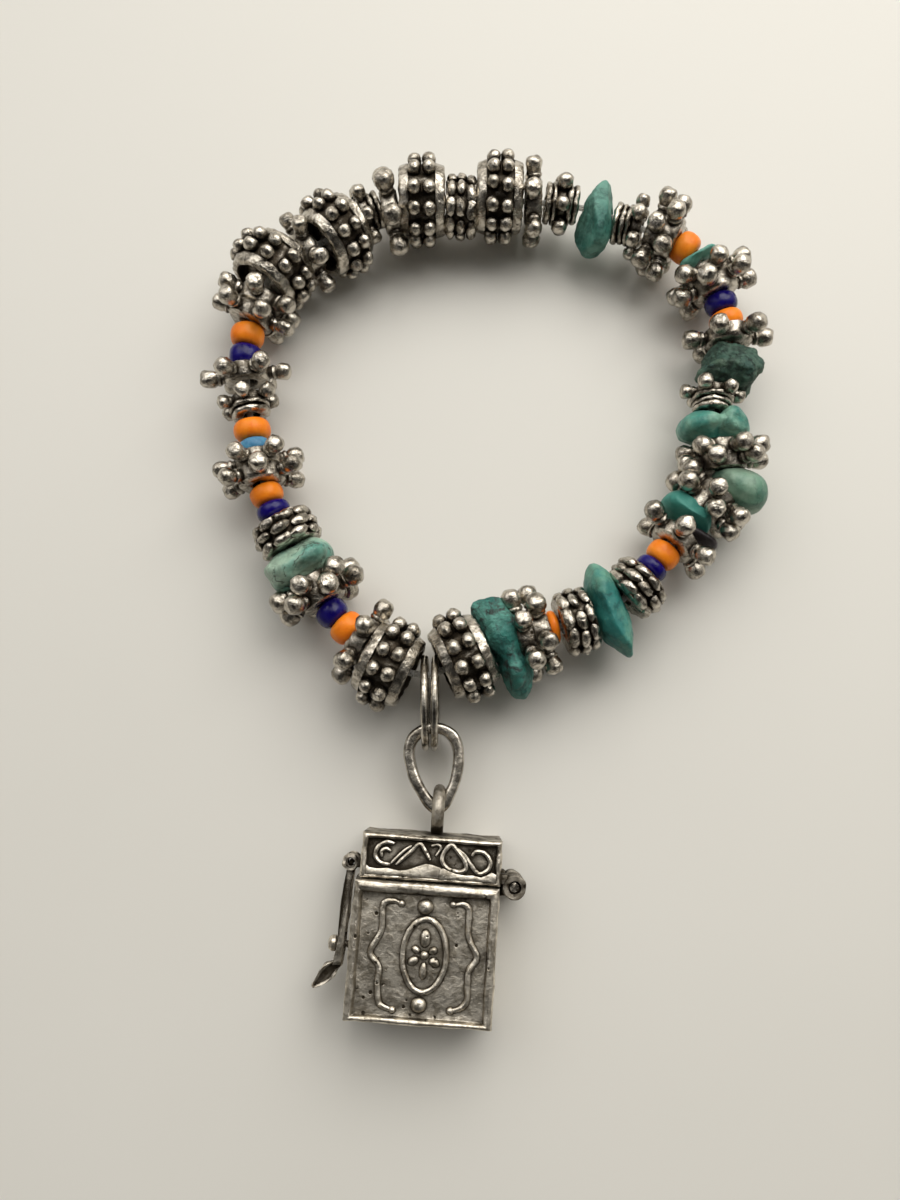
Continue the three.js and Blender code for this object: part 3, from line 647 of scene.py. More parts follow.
flower = {
    "arms": 6, "orbit": 4.8, "neck": 0.8, "collar": 1.0, "collarAt": 3.6, "hub": 3.05, "half": 1.15,
    "bore": 1.15, "ballSteps": 7, "ballSquare": 0.76, "ballFlat": 0.94, "ballSwell": (0.98, 1.12),
    "stray": 0.08, "lean": 0.03, "tip": 0.05, "uneven": (0.17, 0.8), "pitted": (0.06, 0.45),
}
smallFlower = {**flower, "orbit": 3.3, "neck": 0.6, "collar": 0.72, "collarAt": 2.65, "hub": 2.2,
               "half": 0.75, "bore": 1.1}


def makeFlower(form, ballRadius, draw, seed):
    bm = bmesh.new()
    half, hub, bore, at = form["half"], form["hub"], form["bore"], form["collarAt"]
    neck, collar, square = form["neck"], form["collar"], form["ballSquare"]
    hubEnd = [(half * 0.75, bore), (half, bore + 0.22), (half, hub - 0.45), (half * 0.8, hub - 0.12),
              (half * 0.3, hub)]
    turned(bm, mirrored(hubEnd), 30)
    for index in range(form["arms"]):
        size = ballRadius * draw.uniform(*form["ballSwell"])
        reach = form["orbit"] + draw.uniform(-form["stray"], form["stray"])
        arm = [(hub - 0.9, 0), (hub - 0.9, neck * 1.15), (at - 0.4, neck), (at - 0.2, collar),
               (at + 0.05, collar), (at + 0.2, neck * 1.1)]
        start = math.pi - math.asin(min(0.9, neck * 1.1 / size))
        for step in range(1, form["ballSteps"] + 1):  # a slightly squared ball, as it left the mould
            angle = start * (1 - step / form["ballSteps"])
            level, width = math.cos(angle), math.sin(angle)
            arm.append((reach + size * form["ballFlat"] * math.copysign(abs(level) ** square, level),
                        size * abs(width) ** square if step < form["ballSteps"] else 0))
        angle = -fullTurn * index / form["arms"] + draw.uniform(-form["lean"], form["lean"])
        tip = Matrix.Rotation(draw.uniform(-form["tip"], form["tip"]), 4, "Y")
        place = Matrix.Rotation(angle, 4, "X") @ tip @ Matrix.Rotation(-math.pi / 2, 4, "Y")
        turned(bm, arm, 14, place, closed=False)
    roughen(bm, *form["uneven"], seed)
    roughen(bm, *form["pitted"], seed + 9)
    inner = form["orbit"] - ballRadius
    shade(bm, lambda co: 0.5 - 0.5 * between(co.yz.length, inner - 0.9, inner + ballRadius))
    return bm


pairHub = {"bore": 1.2, "radius": 2.2}


def makePairHub(spacing):
    # The hub that two flowers share, seen only in the gap between them.
    bm = bmesh.new()
    half = spacing / 2
    turned(bm, [(-half, pairHub["bore"]), (-half, pairHub["radius"]), (half, pairHub["radius"]),
                (half, pairHub["bore"])], 24)
    shade(bm, lambda co: 1)
    return bm


ring = {"radius": 2.65, "half": 0.38, "bore": 1.1, "flowerBall": 0.95, "swell": (0.93, 1.04), "tilt": 0.05,
        "uneven": (0.22, 0.7)}


def makeRinged(row, draw, seed):
    # A small flower with thin rings against it.
    bm = makeFlower(smallFlower, ring["flowerBall"], draw, seed)
    half, bore = ring["half"], ring["bore"]
    for number, at in enumerate(row["rings"]):
        disc = bmesh.new()
        size = ring["radius"] * draw.uniform(*ring["swell"])
        tilt = draw.uniform(-ring["tilt"], ring["tilt"])
        end = [(half * 0.8, bore), (half, bore + 0.2), (half, size - 0.4), (half * 0.75, size - 0.12),
               (half * 0.3, size)]
        turned(disc, mirrored(end), 40, Matrix.Translation((at, 0, 0)) @ Matrix.Rotation(tilt, 4, "Y"))
        roughen(disc, *ring["uneven"], seed + number * 3)
        merged(bm, disc)
    shade(bm, lambda co: 0.6 - 0.6 * between(co.yz.length, 1.9, 2.6))
    return bm


barrel = {
    "length": 4.1, "core": 3.3, "end": 3.45, "bore": 1.2, "rows": [(-1.32, 0.95), (0.0, 1.0), (1.32, 0.95)],
    "grains": 9, "grainSize": (0.74, 1.36, 0.72), "orbit": 3.6, "grainLean": 0.07, "grainSwell": (0.88, 1.08),
    "grainTurn": 0.12, "grainStray": 0.08, "uneven": (0.2, 0.6),
}


def makeBarrel(row, draw, seed):
    # Rows of long grains, each at its distance along the barrel and drawn in a little towards the ends.
    size = row.get("size", 1)
    half, bore, orbit = barrel["length"] / 2, barrel["bore"], barrel["orbit"] * size
    end = barrel["end"] * size
    bm = bmesh.new()
    turned(bm, mirrored([(half - 0.1, bore), (half, bore + 0.2), (half, end - 0.2), (half - 0.12, end),
                         (half - 0.35, end), (half - 0.5, barrel["core"] * size)]), 44)
    for line, drawnIn in barrel["rows"]:
        start = draw.uniform(0, 1)
        for index in range(barrel["grains"]):
            lean = draw.uniform(-barrel["grainLean"], barrel["grainLean"])
            swell = draw.uniform(*barrel["grainSwell"])
            slant = draw.uniform(-barrel["grainTurn"], barrel["grainTurn"])
            stray = draw.uniform(-barrel["grainStray"], barrel["grainStray"])
            turn = Matrix.Rotation(fullTurn * (index + start) / barrel["grains"] + lean, 4, "X")
            middle = turn @ Vector((line + stray, 0, orbit * drawnIn))
            ball(bm, middle, [part * swell for part in barrel["grainSize"]], studFacets,
                 turn @ Matrix.Rotation(slant, 4, "Z"))
    roughen(bm, *barrel["uneven"], seed)

    def patinaAndShade(co):
        if abs(co.x) < half - 0.3:  # dark between the grains
            return 0.42 - 0.42 * between(co.yz.length, orbit - 0.1, orbit + 0.5)
        return 0.15

    shade(bm, patinaAndShade)
    return bm


seedBead = {"radius": 2.15, "bore": 0.8, "lip": 0.12, "edge": 0.1, "fullness": 2.5, "steps": 6,
            "swell": (0.97, 1.03), "uneven": (0.07, 1.7)}


def makeSeed(length, swell, draw):
    bm = bmesh.new()
    half, bore, edge = length / 2, seedBead["bore"], seedBead["edge"]
    size = seedBead["radius"] * swell * draw.uniform(*seedBead["swell"])
    lip, full = bore + seedBead["lip"], seedBead["fullness"]
    outer = []
    for step in range(-seedBead["steps"], seedBead["steps"] + 1):
        share = math.sin(step / seedBead["steps"] * math.pi / 2)
        bulge = (1 - abs(share) ** full) ** (1 / full)
        outer.append((share * half, lip + (size - lip) * bulge))
    turned(bm, outer + [(half - edge, bore), (-half + edge, bore)], 36)
    roughen(bm, *seedBead["uneven"], draw.uniform(0, 9))
    return bm


# Each stone is an outline of (along, side) at its thickest, drawn in towards its top and its back. Half is
# its half height, crest how much of its thickness is left at the top, cuts the flats as (facing, distance),
# groove the (side, depth) of a dip right round, and bumps how lumpy it is. Colors are the body, the pale
# patches, the deep blotches and the veins.
stones = {
    "pale_rondelle": {
        "outline": [(1.4, 5.2), (2.3, 3.5), (2.9, -0.6), (2.5, -2.8), (1.0, -4.2), (-0.9, -3.7),
                    (-1.9, -2.3), (-2.1, 0.1), (-2.8, 2.0), (-2.8, 3.5), (-2.1, 4.6), (0.2, 5.1)],
        "half": 4.5, "crest": 0.4, "seed": 1, "cuts": [((0.75, 0.1, 0.66), 3.0), ((-0.7, 0, 0.7), 3.35)],
        "colors": ((0.13, 0.35, 0.28), (0.38, 0.53, 0.41), (0.07, 0.22, 0.18), (0.035, 0.04, 0.03)),
        "pale": 0.62, "veins": 0.95, "veinScale": 420, "rough": 0.42, "stains": 0.35,
    },
    "teal_chip": {
        "outline": [(0.6, 4.3), (1.3, 3.8), (2.1, 2.6), (2.4, 1.3), (2.6, -2.6), (2.3, -4.4), (1.5, -5.8),
                    (0.4, -6.1), (-0.9, -5.7), (-2.2, -4.6), (-2.6, -3.4), (-2.4, -1.7), (-1.8, 0.5),
                    (-1.0, 2.2), (-0.3, 3.7)],
        "half": 4.4, "crest": 0.6, "seed": 2, "bumps": 0.2, "grain": 0.00018,
        "cuts": [((-0.9, -0.25, 0.36), 1.85), ((0.15, 0.1, 0.98), 3.4), ((0.93, 0.15, 0.33), 2.2)],
        "colors": ((0.045, 0.19, 0.15), (0.14, 0.33, 0.26), (0.028, 0.125, 0.1), (0.01, 0.045, 0.04)),
        "pale": 0.62, "veins": 0.3, "veinScale": 500, "rough": 0.55, "stains": 0.55,
    },
    "thin_teal_disc": {
        "outline": [(0.6, 2.7), (0.75, 0), (0.6, -2.7), (0, -3.05), (-0.6, -2.7), (-0.75, 0), (-0.6, 2.7),
                    (0, 3.05)],
        "half": 3.0, "crest": 0.85, "seed": 3, "cuts": [],
        "colors": ((0.085, 0.3, 0.245), (0.17, 0.4, 0.32), (0.04, 0.19, 0.155), (0.02, 0.06, 0.05)),
        "pale": 0.5, "veins": 0.3, "veinScale": 300, "rough": 0.5,
    },
    "green_nugget": {
        "outline": [(-3.0, 0.1), (-2.6, 2.3), (-2.0, 4.3), (-0.6, 5.2), (0.8, 5.0), (1.3, 4.4), (2.3, 4.5),
                    (3.1, 3.8), (3.5, 2.1), (2.8, 0.2), (3.2, -2.6), (2.2, -2.9), (1.1, -2.5), (0.0, -2.8),
                    (-1.7, -1.6)],
        "half": 4.2, "crest": 0.6, "seed": 4, "bumps": 0.55, "grain": 0.0003,
        "cuts": [((-0.4, 0.3, 0.86), 3.6), ((0.5, -0.3, 0.8), 3.6)],
        "colors": ((0.06, 0.125, 0.09), (0.14, 0.22, 0.15), (0.026, 0.07, 0.056), (0.014, 0.022, 0.018)),
        "pale": 0.5, "veins": 0.8, "veinScale": 620, "rough": 0.65, "stains": 0.6,
    },
    "pale_nugget": {
        "outline": [(0.5, -5.0), (-0.6, -4.6), (-1.5, -3.4), (-1.9, -1.8), (-1.4, -0.2), (-1.6, 0.6),
                    (-2.3, 1.6), (-2.5, 2.6), (-1.9, 3.4), (-0.8, 3.9), (0.6, 4.3), (1.5, 4.3), (2.1, 3.6),
                    (2.3, 1.6), (2.0, 0.2), (2.4, -1.6), (2.3, -3.4), (1.6, -4.7)],
        "half": 4.0, "crest": 0.6, "seed": 5, "groove": (0.3, 0.75), "cuts": [((0.2, 0.45, 0.87), 3.75)],
        "colors": ((0.055, 0.27, 0.22), (0.21, 0.41, 0.31), (0.02, 0.17, 0.15), (0.03, 0.06, 0.05)),
        "pale": 0.5, "veins": 0.35, "veinScale": 330, "rough": 0.42, "stains": 0.25,
    },
    "pale_pebble": {
        "outline": [(-0.1, -1.2), (1.2, -0.6), (2.4, 0.9), (3.3, 2.7), (3.4, 4.5), (2.8, 5.7), (1.5, 6.4),
                    (0.0, 6.3), (-1.4, 5.6), (-2.1, 4.4), (-2.3, 2.3), (-1.8, 0.6), (-1.0, -0.8)],
        "half": 3.6, "crest": 0.72, "seed": 6, "bumps": 0.06, "cuts": [],
        "colors": ((0.13, 0.27, 0.19), (0.26, 0.39, 0.29), (0.07, 0.18, 0.135), (0.03, 0.07, 0.05)),
        "pale": 0.48, "veins": 0.3, "veinScale": 300, "rough": 0.4,
    },
    "oblique_disc": {
        "outline": [(0.4, -4.7), (-1.0, -4.5), (-1.9, -3.8), (-1.9, -2.4), (-1.4, -0.6), (-1.1, 1.3),
                    (-0.5, 2.4), (1.1, 2.4), (1.9, 2.2), (1.8, 1.0), (1.1, -1.1), (1.2, -2.9)],
        "half": 3.7, "crest": 1.0, "seed": 7, "bumps": 0.05,
        "cuts": [((-0.2, 0, 0.98), 2.9), ((0.97, 0, 0.24), 1.5)],
        "colors": ((0.045, 0.24, 0.195), (0.07, 0.27, 0.22), (0.03, 0.2, 0.165), (0.01, 0.05, 0.04)),
        "pale": 0.4, "veins": 0.1, "veinScale": 300, "rough": 0.5,
    },
    "brown_nugget": {
        "outline": [(-0.8, -0.6), (0.7, -0.6), (0.9, 1.5), (0.8, 3.6), (0.3, 4.6), (-0.6, 4.6), (-1.0, 3.4),
                    (-1.0, 1.4)],
        "half": 2.4, "crest": 0.7, "seed": 8, "cuts": [],
        "colors": ((0.03, 0.022, 0.026), (0.06, 0.05, 0.055), (0.012, 0.009, 0.01), (0.008, 0.006, 0.006)),
        "pale": 0.35, "veins": 0.2, "veinScale": 500, "rough": 0.4,
    },
    "pointed_chip": {
        "outline": [(-0.5, -6.3), (0.8, -4.8), (1.6, -3.6), (1.7, -2.2), (1.9, -0.8), (2.1, 1.0),
                    (2.4, 2.9), (2.2, 3.7), (1.3, 5.2), (0.6, 6.7), (0.1, 6.7), (-0.8, 4.9), (-1.3, 3.3),
                    (-2.0, 0.8), (-2.3, -2.6), (-2.3, -3.9), (-2.0, -5.0), (-1.4, -5.7)],
        "half": 4.3, "crest": 0.5, "seed": 9, "cuts": [((-0.45, 0.15, 0.87), 3.3), ((0.8, 0, 0.6), 2.9)],
        "colors": ((0.028, 0.19, 0.17), (0.12, 0.31, 0.23), (0.015, 0.125, 0.115), (0.02, 0.045, 0.04)),
        "pale": 0.42, "veins": 0.3, "veinScale": 300, "rough": 0.5,
    },
    "veined_chip": {
        "outline": [(2.4, -4.7), (1.9, -6.0), (0.3, -6.2), (-1.9, -5.1), (-3.0, -3.6), (-3.2, -0.6),
                    (-2.9, 1.5), (-2.5, 3.0), (-2.4, 5.6), (-1.3, 7.3), (0.5, 7.2), (1.3, 6.0), (1.35, 3.7),
                    (1.9, 1.4), (2.1, -1.8)],
        "half": 4.1, "crest": 0.66, "seed": 10, "bumps": 0.34, "grain": 0.0002, "groove": (1.9, 0.8),
        "cuts": [],
        "colors": ((0.028, 0.175, 0.145), (0.09, 0.28, 0.23), (0.01, 0.08, 0.07), (0.02, 0.022, 0.021)),
        "pale": 0.5, "veins": 0.5, "veinScale": 520, "rough": 0.6, "stains": 0.95,
    },
}

stoneForm = {
    "levels": [-0.97, -0.86, -0.62, -0.3, 0.0, 0.3, 0.62, 0.86, 0.97], "fullness": 2.3,
    "narrowest": (0.15, 0.2), "grooveWidth": 0.75, "grooveSides": 0.35, "bore": 0.75, "voxel": 0.17,
    "smoothing": 2,
    "lumps": (1.8, 2.6), "dents": (0.6, 1.1), "grit": (0.25, 0.4),
}


def stoneMaterial(name, look):
    body, pale, deep, vein = look["colors"]
    return newMaterial(name, veinedStone, {
        "Body": body, "Pale": pale, "Deep": deep, "Vein": vein, "Pale Amount": look["pale"],
        "Vein Amount": look["veins"], "Vein Scale": look["veinScale"], "Roughness": look["rough"],
        "Stain Amount": look.get("stains", 0), "Grain Depth": look.get("grain", 0.00008),
        "Shift": (0.02 * look["seed"], 0.01 * look["seed"], 0),
    }, {"Coat Weight": 0.05, "Coat Roughness": 0.35, "Specular IOR Level": 0.35})


def roughenStone(bm, kind, look, seedStep):
    share, size = stoneForm[kind]
    roughen(bm, look.get("bumps", 0.16) * share, size, look["seed"] + seedStep)


def makeStone(look):
    # The outline rises through ever smaller copies of itself, is smoothed, pressed flat where it was ground,
    # and bored.
    levels, full = stoneForm["levels"], stoneForm["fullness"]
    bm = bmesh.new()
    flat = bm.faces.new([bm.verts.new((*point, 0)) for point in look["outline"]])
    centre = Vector((*flat.calc_center_median().xy, 0))

    def sizeAt(level):
        spread = (1 - abs(level) ** full) ** (1 / full)
        thinnest, shortest = stoneForm["narrowest"]
        crest = 1 - (1 - look["crest"]) * level * level
        return Vector((max(spread, thinnest) * crest, max(spread, shortest), 1))

    def resize(verts, size):
        bmesh.ops.scale(bm, vec=size, space=Matrix.Translation(-centre), verts=verts)

    bmesh.ops.translate(bm, vec=(0, 0, levels[0] * look["half"]), verts=bm.verts)
    resize(bm.verts[:], sizeAt(levels[0]))
    for before, level in zip(levels, levels[1:]):
        flat = drawnOut(bm, [flat], (0, 0, (level - before) * look["half"]))
        old, new = sizeAt(before), sizeAt(level)
        resize(flat.verts[:], Vector((new.x / old.x, new.y / old.y, 1)))
    bmesh.ops.recalc_face_normals(bm, faces=bm.faces)
    bm = worked(bm, ("SUBSURF", {"levels": 2, "render_levels": 2}))
    if "groove" in look:  # a dip right round, between two lobes
        at, depth = look["groove"]
        for vert in bm.verts:
            pinch = depth * math.exp(-((vert.co.y - at) / stoneForm["grooveWidth"]) ** 2)
            vert.co.z -= pinch * vert.co.z / look["half"]
            vert.co.x -= stoneForm["grooveSides"] * pinch * vert.co.x / 2
    roughenStone(bm, "lumps", look, 0)
    for facing, distance in look["cuts"]:
        facing = Vector(facing).normalized()
        for vert in bm.verts:  # what stands beyond the flat is pressed down onto it
            vert.co -= facing * max(0, (vert.co - centre).dot(facing) - distance)
    borer = bmesh.new()
    rod(borer, stoneForm["bore"], 14, 16, Matrix.Rotation(math.pi / 2, 4, "Y"))
    bm = cutWith(bm, borer, ("REMESH", {"mode": "VOXEL", "voxel_size": stoneForm["voxel"]}))
    for _ in range(stoneForm["smoothing"]):
        bmesh.ops.smooth_vert(bm, verts=bm.verts, factor=0.5,
                              use_axis_x=True, use_axis_y=True, use_axis_z=True)
    roughenStone(bm, "dents", look, 20)
    roughenStone(bm, "grit", look, 40)
    return bm


def makeBead(row, number):
    name, kind = row["name"], row["kind"]
    draw = random.Random(number)

    def finish(bm, part, place=beadPlace(row), material=castSilver, slot=nodeSlots[name]):
        finishPiece(bm, f"{name}_{part}", place, material, "bracelet", [name], slot)

    if kind == "drum":
        finish(makeDrum(draw, number), "cast")
    elif kind == "barrel":
        finish(makeBarrel(row, draw, number), "cast")
    elif kind == "ringed":
        finish(makeRinged(row, draw, number), "cast")
    elif kind == "flower":
        finish(makeFlower(flower, row["ball"], draw, number), "cast")
    elif kind == "pair":
        half = row["spacing"] / 2
        for part, along, twist in (("a", -half, 0), ("b", half, row["twist"])):
            finish(makeFlower(flower, row["ball"], draw, number + along), part, beadPlace(row, along, twist))
        finish(makePairHub(row["spacing"]), "hub")
    elif kind == "seeds":
        start = -sum(row["lengths"]) / 2
        for length, glass, swell in zip(row["lengths"], row["glass"], row.get("sizes", [1, 1])):
            material, slot = glasses[glass]
            finish(makeSeed(length, swell, draw), glass, beadPlace(row, start + length / 2), material, slot)
            start += length
    else:
        look = stones[name]
        finish(makeStone(look), "stone", material=stoneMaterial(name + "Stone", look))


for number, row in enumerate(beads):
    makeBead(row, number)
print("beads made:", len(beads))

elastic = {"tints": ((0.62, 0.6, 0.54, 1), (0.85, 0.84, 0.8, 1)), "streaks": 900, "streakDepth": 0.00004,
           "clear": 0.5, "coat": 0.4}


def clearElastic():
    material, tree, shader = plainMaterial("clearElastic")
    place = addNode(tree, "ShaderNodeTexCoord").outputs["Object"]
    streaks = addNoise(tree, place, elastic["streaks"], 4, 0.6)
    tree.links.new(addMix(tree, streaks, *elastic["tints"]), shader["Base Color"])
    tree.links.new(addRange(tree, streaks, 0.3, 0.7, 0.2, 0.4), shader["Roughness"])
    tree.links.new(addBump(tree, streaks, elastic["streakDepth"], 0.3), shader["Normal"])
    shader["Transmission Weight"].default_value = elastic["clear"]
    shader["Coat Weight"].default_value = elastic["coat"]
    return material


def makeThread():
    bm = bmesh.new()
    points = [(*point, thread["height"]) for point in thread["route"]]
    wire(bm, points, thread["radius"], thread["coarseSteps"], closed=True)
    return bm


finishPiece(makeThread(), "elastic_thread", loopFrame, clearElastic(), "bracelet", ["elastic_cord"],
            "clear_elastic")


def makeJumpRing(number):
    # Round wire bent to a circle, its two ends meeting at a sawn joint.
    bm = bmesh.new()
    radius, joint = jumpRing["radius"], jumpRing["joint"][number]
    start = Matrix.Translation((0, radius, 0))
    bmesh.ops.create_circle(bm, segments=14, radius=jumpRing["wire"], matrix=start)
    bmesh.ops.spin(bm, geom=bm.verts[:] + bm.edges[:], cent=(0, 0, 0), axis=(1, 0, 0), dvec=(0, 0, 0),
                   angle=fullTurn, steps=96, use_merge=True, use_duplicate=False)

    def nearJoint(co, width):
        return math.exp(-((math.atan2(co.z, co.y) - joint) / width) ** 2)

    for vert in bm.verts:
        middle = Vector((0, *(vert.co.yz.normalized() * radius)))
        vert.co = middle + (vert.co - middle) * (1 - 0.25 * nearJoint(vert.co, 0.05))
    roughen(bm, *jumpRing["uneven"], number)
    shade(bm, lambda co: 0.9 * nearJoint(co, 0.03))
    return bm


for number, name in enumerate(("jump_ring_left", "jump_ring_right")):
    place = (loopFrame @ Matrix.Translation((jumpRing["x"][number], *jumpRing["middle"][1:]))
             @ Matrix.Rotation(math.radians(jumpRing["lean"][number]), 4, "Z"))
    finishPiece(makeJumpRing(number), name + "_wire", place, wireSilver, "bracelet", [name], nodeSlots[name])

bail = {
    "place": (-1.85, -20.8, 4.5), "turn": 4, "half": 1.2, "edge": (0.48, 5, 50), "uneven": (0.12, 2.2),
    "outer": [(0, 5.6), (-1.6, 5.35), (-3.0, 4.35), (-3.7, 2.6), (-3.65, 0.8), (-3.15, -1.3), (-2.3, -3.1),
              (-1.35, -4.7), (0, -5.55), (1.35, -4.8), (2.3, -3.2), (3.15, -1.4), (3.65, 0.6), (3.7, 2.5),
              (3.0, 4.35), (1.6, 5.35)],
    "inner": [(0, 4.3), (-1.1, 4.0), (-1.95, 3.2), (-2.35, 2.1), (-2.2, 0.6), (-1.75, -1.1), (-1.15, -2.4),
              (-0.55, -3.3), (0, -3.6), (0.55, -3.3), (1.2, -2.5), (1.8, -1.2), (2.25, 0.5), (2.35, 2.0),
              (1.95, 3.2), (1.1, 4.0)],
}


def makeBail():
    # A teardrop link: the band between its two outlines, drawn out to its thickness and rounded.
    bm = bmesh.new()
    loops = []
    for outline in (bail["outer"], bail["inner"]):
        verts = [bm.verts.new((*point, -bail["half"])) for point in smoothPath(outline, 5, closed=True)]
        loops.append([bm.edges.new(pair) for pair in zip(verts, verts[1:] + verts[:1])])
    faces = bmesh.ops.bridge_loops(bm, edges=loops[0] + loops[1])["faces"]
    drawnOut(bm, faces, (0, 0, 2 * bail["half"]))
    bmesh.ops.recalc_face_normals(bm, faces=bm.faces)
    bm = worked(bm, eased(*bail["edge"]))
    roughen(bm, *bail["uneven"], 4)
    # Painted shade, laid on as patina: the link's inner wall darkens towards its underside.
    shade(bm, lambda co: 0.6 * between(0.8 - co.z, 0, 0.5) if co.xy.length < 3.2 else 0.0)
    return bm


bailFrame = (loopFrame @ Matrix.Translation(bail["place"])
             @ Matrix.Rotation(math.radians(bail["turn"]), 4, "Z"))
finishPiece(makeBail(), "bail_link", bailFrame, wireSilver, "bracelet", ["bail"], nodeSlots["bail"])
print("thread, jump rings and bail made")

# Both halves of the locket share these. Sides are where its fittings begin, left and right. A rim is four
# nested outlines, each the (left, right, bottom, top) in from the block's edges and the height.
locket = {
    "depth": 9.0, "wall": 1.1, "ceiling": 7.4, "right": 8.5, "frontEdge": 8.6, "panel": 8.4,
    "sides": (-8.6, 8.9), "edge": (0.1, 2, 20), "fineness": 4, "uneven": (0.14, 1.5),
    "reliefUneven": (0.07, 0.5), "fittingUneven": (0.16, 0.8),
}
halfDepth = locket["depth"] / 2
hinge = {"middle": (10.2, 8.05), "knuckle": 1.38, "bore": 0.76, "pin": 0.66, "gap": 0.2,
         "split": (0.5, 3.1, 5.9, 8.5), "pinEnds": (0.1, 0.4), "pinUneven": (0.05, 0.4), "leafGap": 0.1}
hasp = {
    "middle": (-9.3, 9.4), "ear": 1.0, "earBore": 0.62, "earThick": 0.8, "earGap": 0.3, "pin": 0.32,
    "barrel": 0.9, "bore": 0.45, "barrelWidth": 2.2, "width": 3.4, "bar": 0.9, "neckFrom": 7.5,
    "slot": ((-12, -1.2), (-8, 1.1)), "slotWidth": 1.8, "edge": (0.12, 2, 40),
    "line": [(-9.3, 9.2), (-9.35, 8.2), (-9.45, 7.0), (-9.6, 5.0), (-9.65, 3.0), (-9.72, 1.0), (-9.75, -0.6),
             (-9.9, -1.6), (-10.0, -2.4)],
    "leaf": [(-9.6, -1.9), (-10.5, -2.15), (-11.4, -2.6), (-12.1, -3.4), (-12.5, -4.3), (-12.75, -4.9),
             (-12.5, -5.3), (-12.0, -5.05), (-11.2, -4.75), (-10.4, -4.1), (-9.8, -3.1), (-9.5, -2.5)],
    "leafHalf": 1.1, "leafRim": 0.38, "leafHollow": 0.3, "leafEdge": (0.17, 3, 40), "leafFrom": -1.5,
    "barrelFrom": 8, "barrelUneven": (0.06, 0.8), "uneven": (0.18, 0.75),
}


def faceTowards(bm, facing):
    # The face that looks most along facing, and of those the one that is furthest along it.
    bm.normal_update()
    return max(bm.faces, key=lambda face: face.normal.dot(Vector(facing)) * 100
               + face.calc_center_median().dot(Vector(facing)))


def boxHalf(low, high, rim, opening, roof):
    # A block with a raised rim round its sunken front, hollowed from its seam face up to its roof.
    bm = bmesh.new()
    slab(bm, low, high)
    front = faceTowards(bm, (0, 0, 1))
    middle = front.calc_center_median()
    for left, right, bottom, top, height in rim:
        bmesh.ops.inset_region(bm, faces=[front], thickness=0.05, depth=0, use_even_offset=True)
        for vert in front.verts:
            vert.co = (low[0] + left if vert.co.x < middle.x else high[0] - right,
                       low[1] + bottom if vert.co.y < middle.y else high[1] - top, height)
    seam = faceTowards(bm, (0, opening, 0))
    bmesh.ops.inset_region(bm, faces=[seam], thickness=locket["wall"], depth=0, use_even_offset=True)
    for vert in seam.verts:
        if vert.co.z > halfDepth:
            vert.co.z = locket["ceiling"]
    drawnOut(bm, [seam], (0, -opening * (high[1] - low[1] - roof), 0))
    bmesh.ops.delete(bm, geom=[seam], context="FACES")
    bmesh.ops.recalc_face_normals(bm, faces=bm.faces)
    levels = locket["fineness"]
    return worked(bm, eased(*locket["edge"]),
                  ("SUBSURF", {"subdivision_type": "SIMPLE", "levels": levels, "render_levels": levels}))


def ribbon(bm, points, radius, lift, flat=0.9, **settings):
    # A relief wire: round stock pressed a little flat and half sunk into the panel.
    wire(bm, [(*point, 0) for point in points], radius,
         place=Matrix.Translation((0, 0, lift)) @ Matrix.Diagonal((1, 1, flat, 1)), **settings)


def aroundOval(x, y, wide, high, count):
    turns = [fullTurn * step / count for step in range(count)]
    return [(x + wide * math.cos(turn), y + high * math.sin(turn)) for turn in turns]


def capped(bm, radius, low, high, middle, bore=0, steps=32):
    # An upright turned post, or a tube where it has a bore, with its edges eased.
    ease = 0.12
    profile = [(low, bore), (low, radius - ease), (low + ease, radius), (high - ease, radius),
               (high, radius - ease), (high, bore)]
    place = Matrix.Translation((*middle, 0)) @ Matrix.Rotation(-math.pi / 2, 4, "Y")
    turned(bm, profile, steps, place, closed=bore > 0)


def leafPlate(bm, low, high):
    # A flat leaf that joins a knuckle or an ear to its half of the locket.
    verts = slab(bm, low, high)
    edges = dict.fromkeys(edge for vert in verts for edge in vert.link_edges)
    bmesh.ops.bevel(bm, geom=list(edges), offset=0.15, offset_type="OFFSET", affect="EDGES", segments=2,
                    profile=0.5, material=-1)


def above(bm, level):
    return [vert for vert in bm.verts if vert.co.z > level]


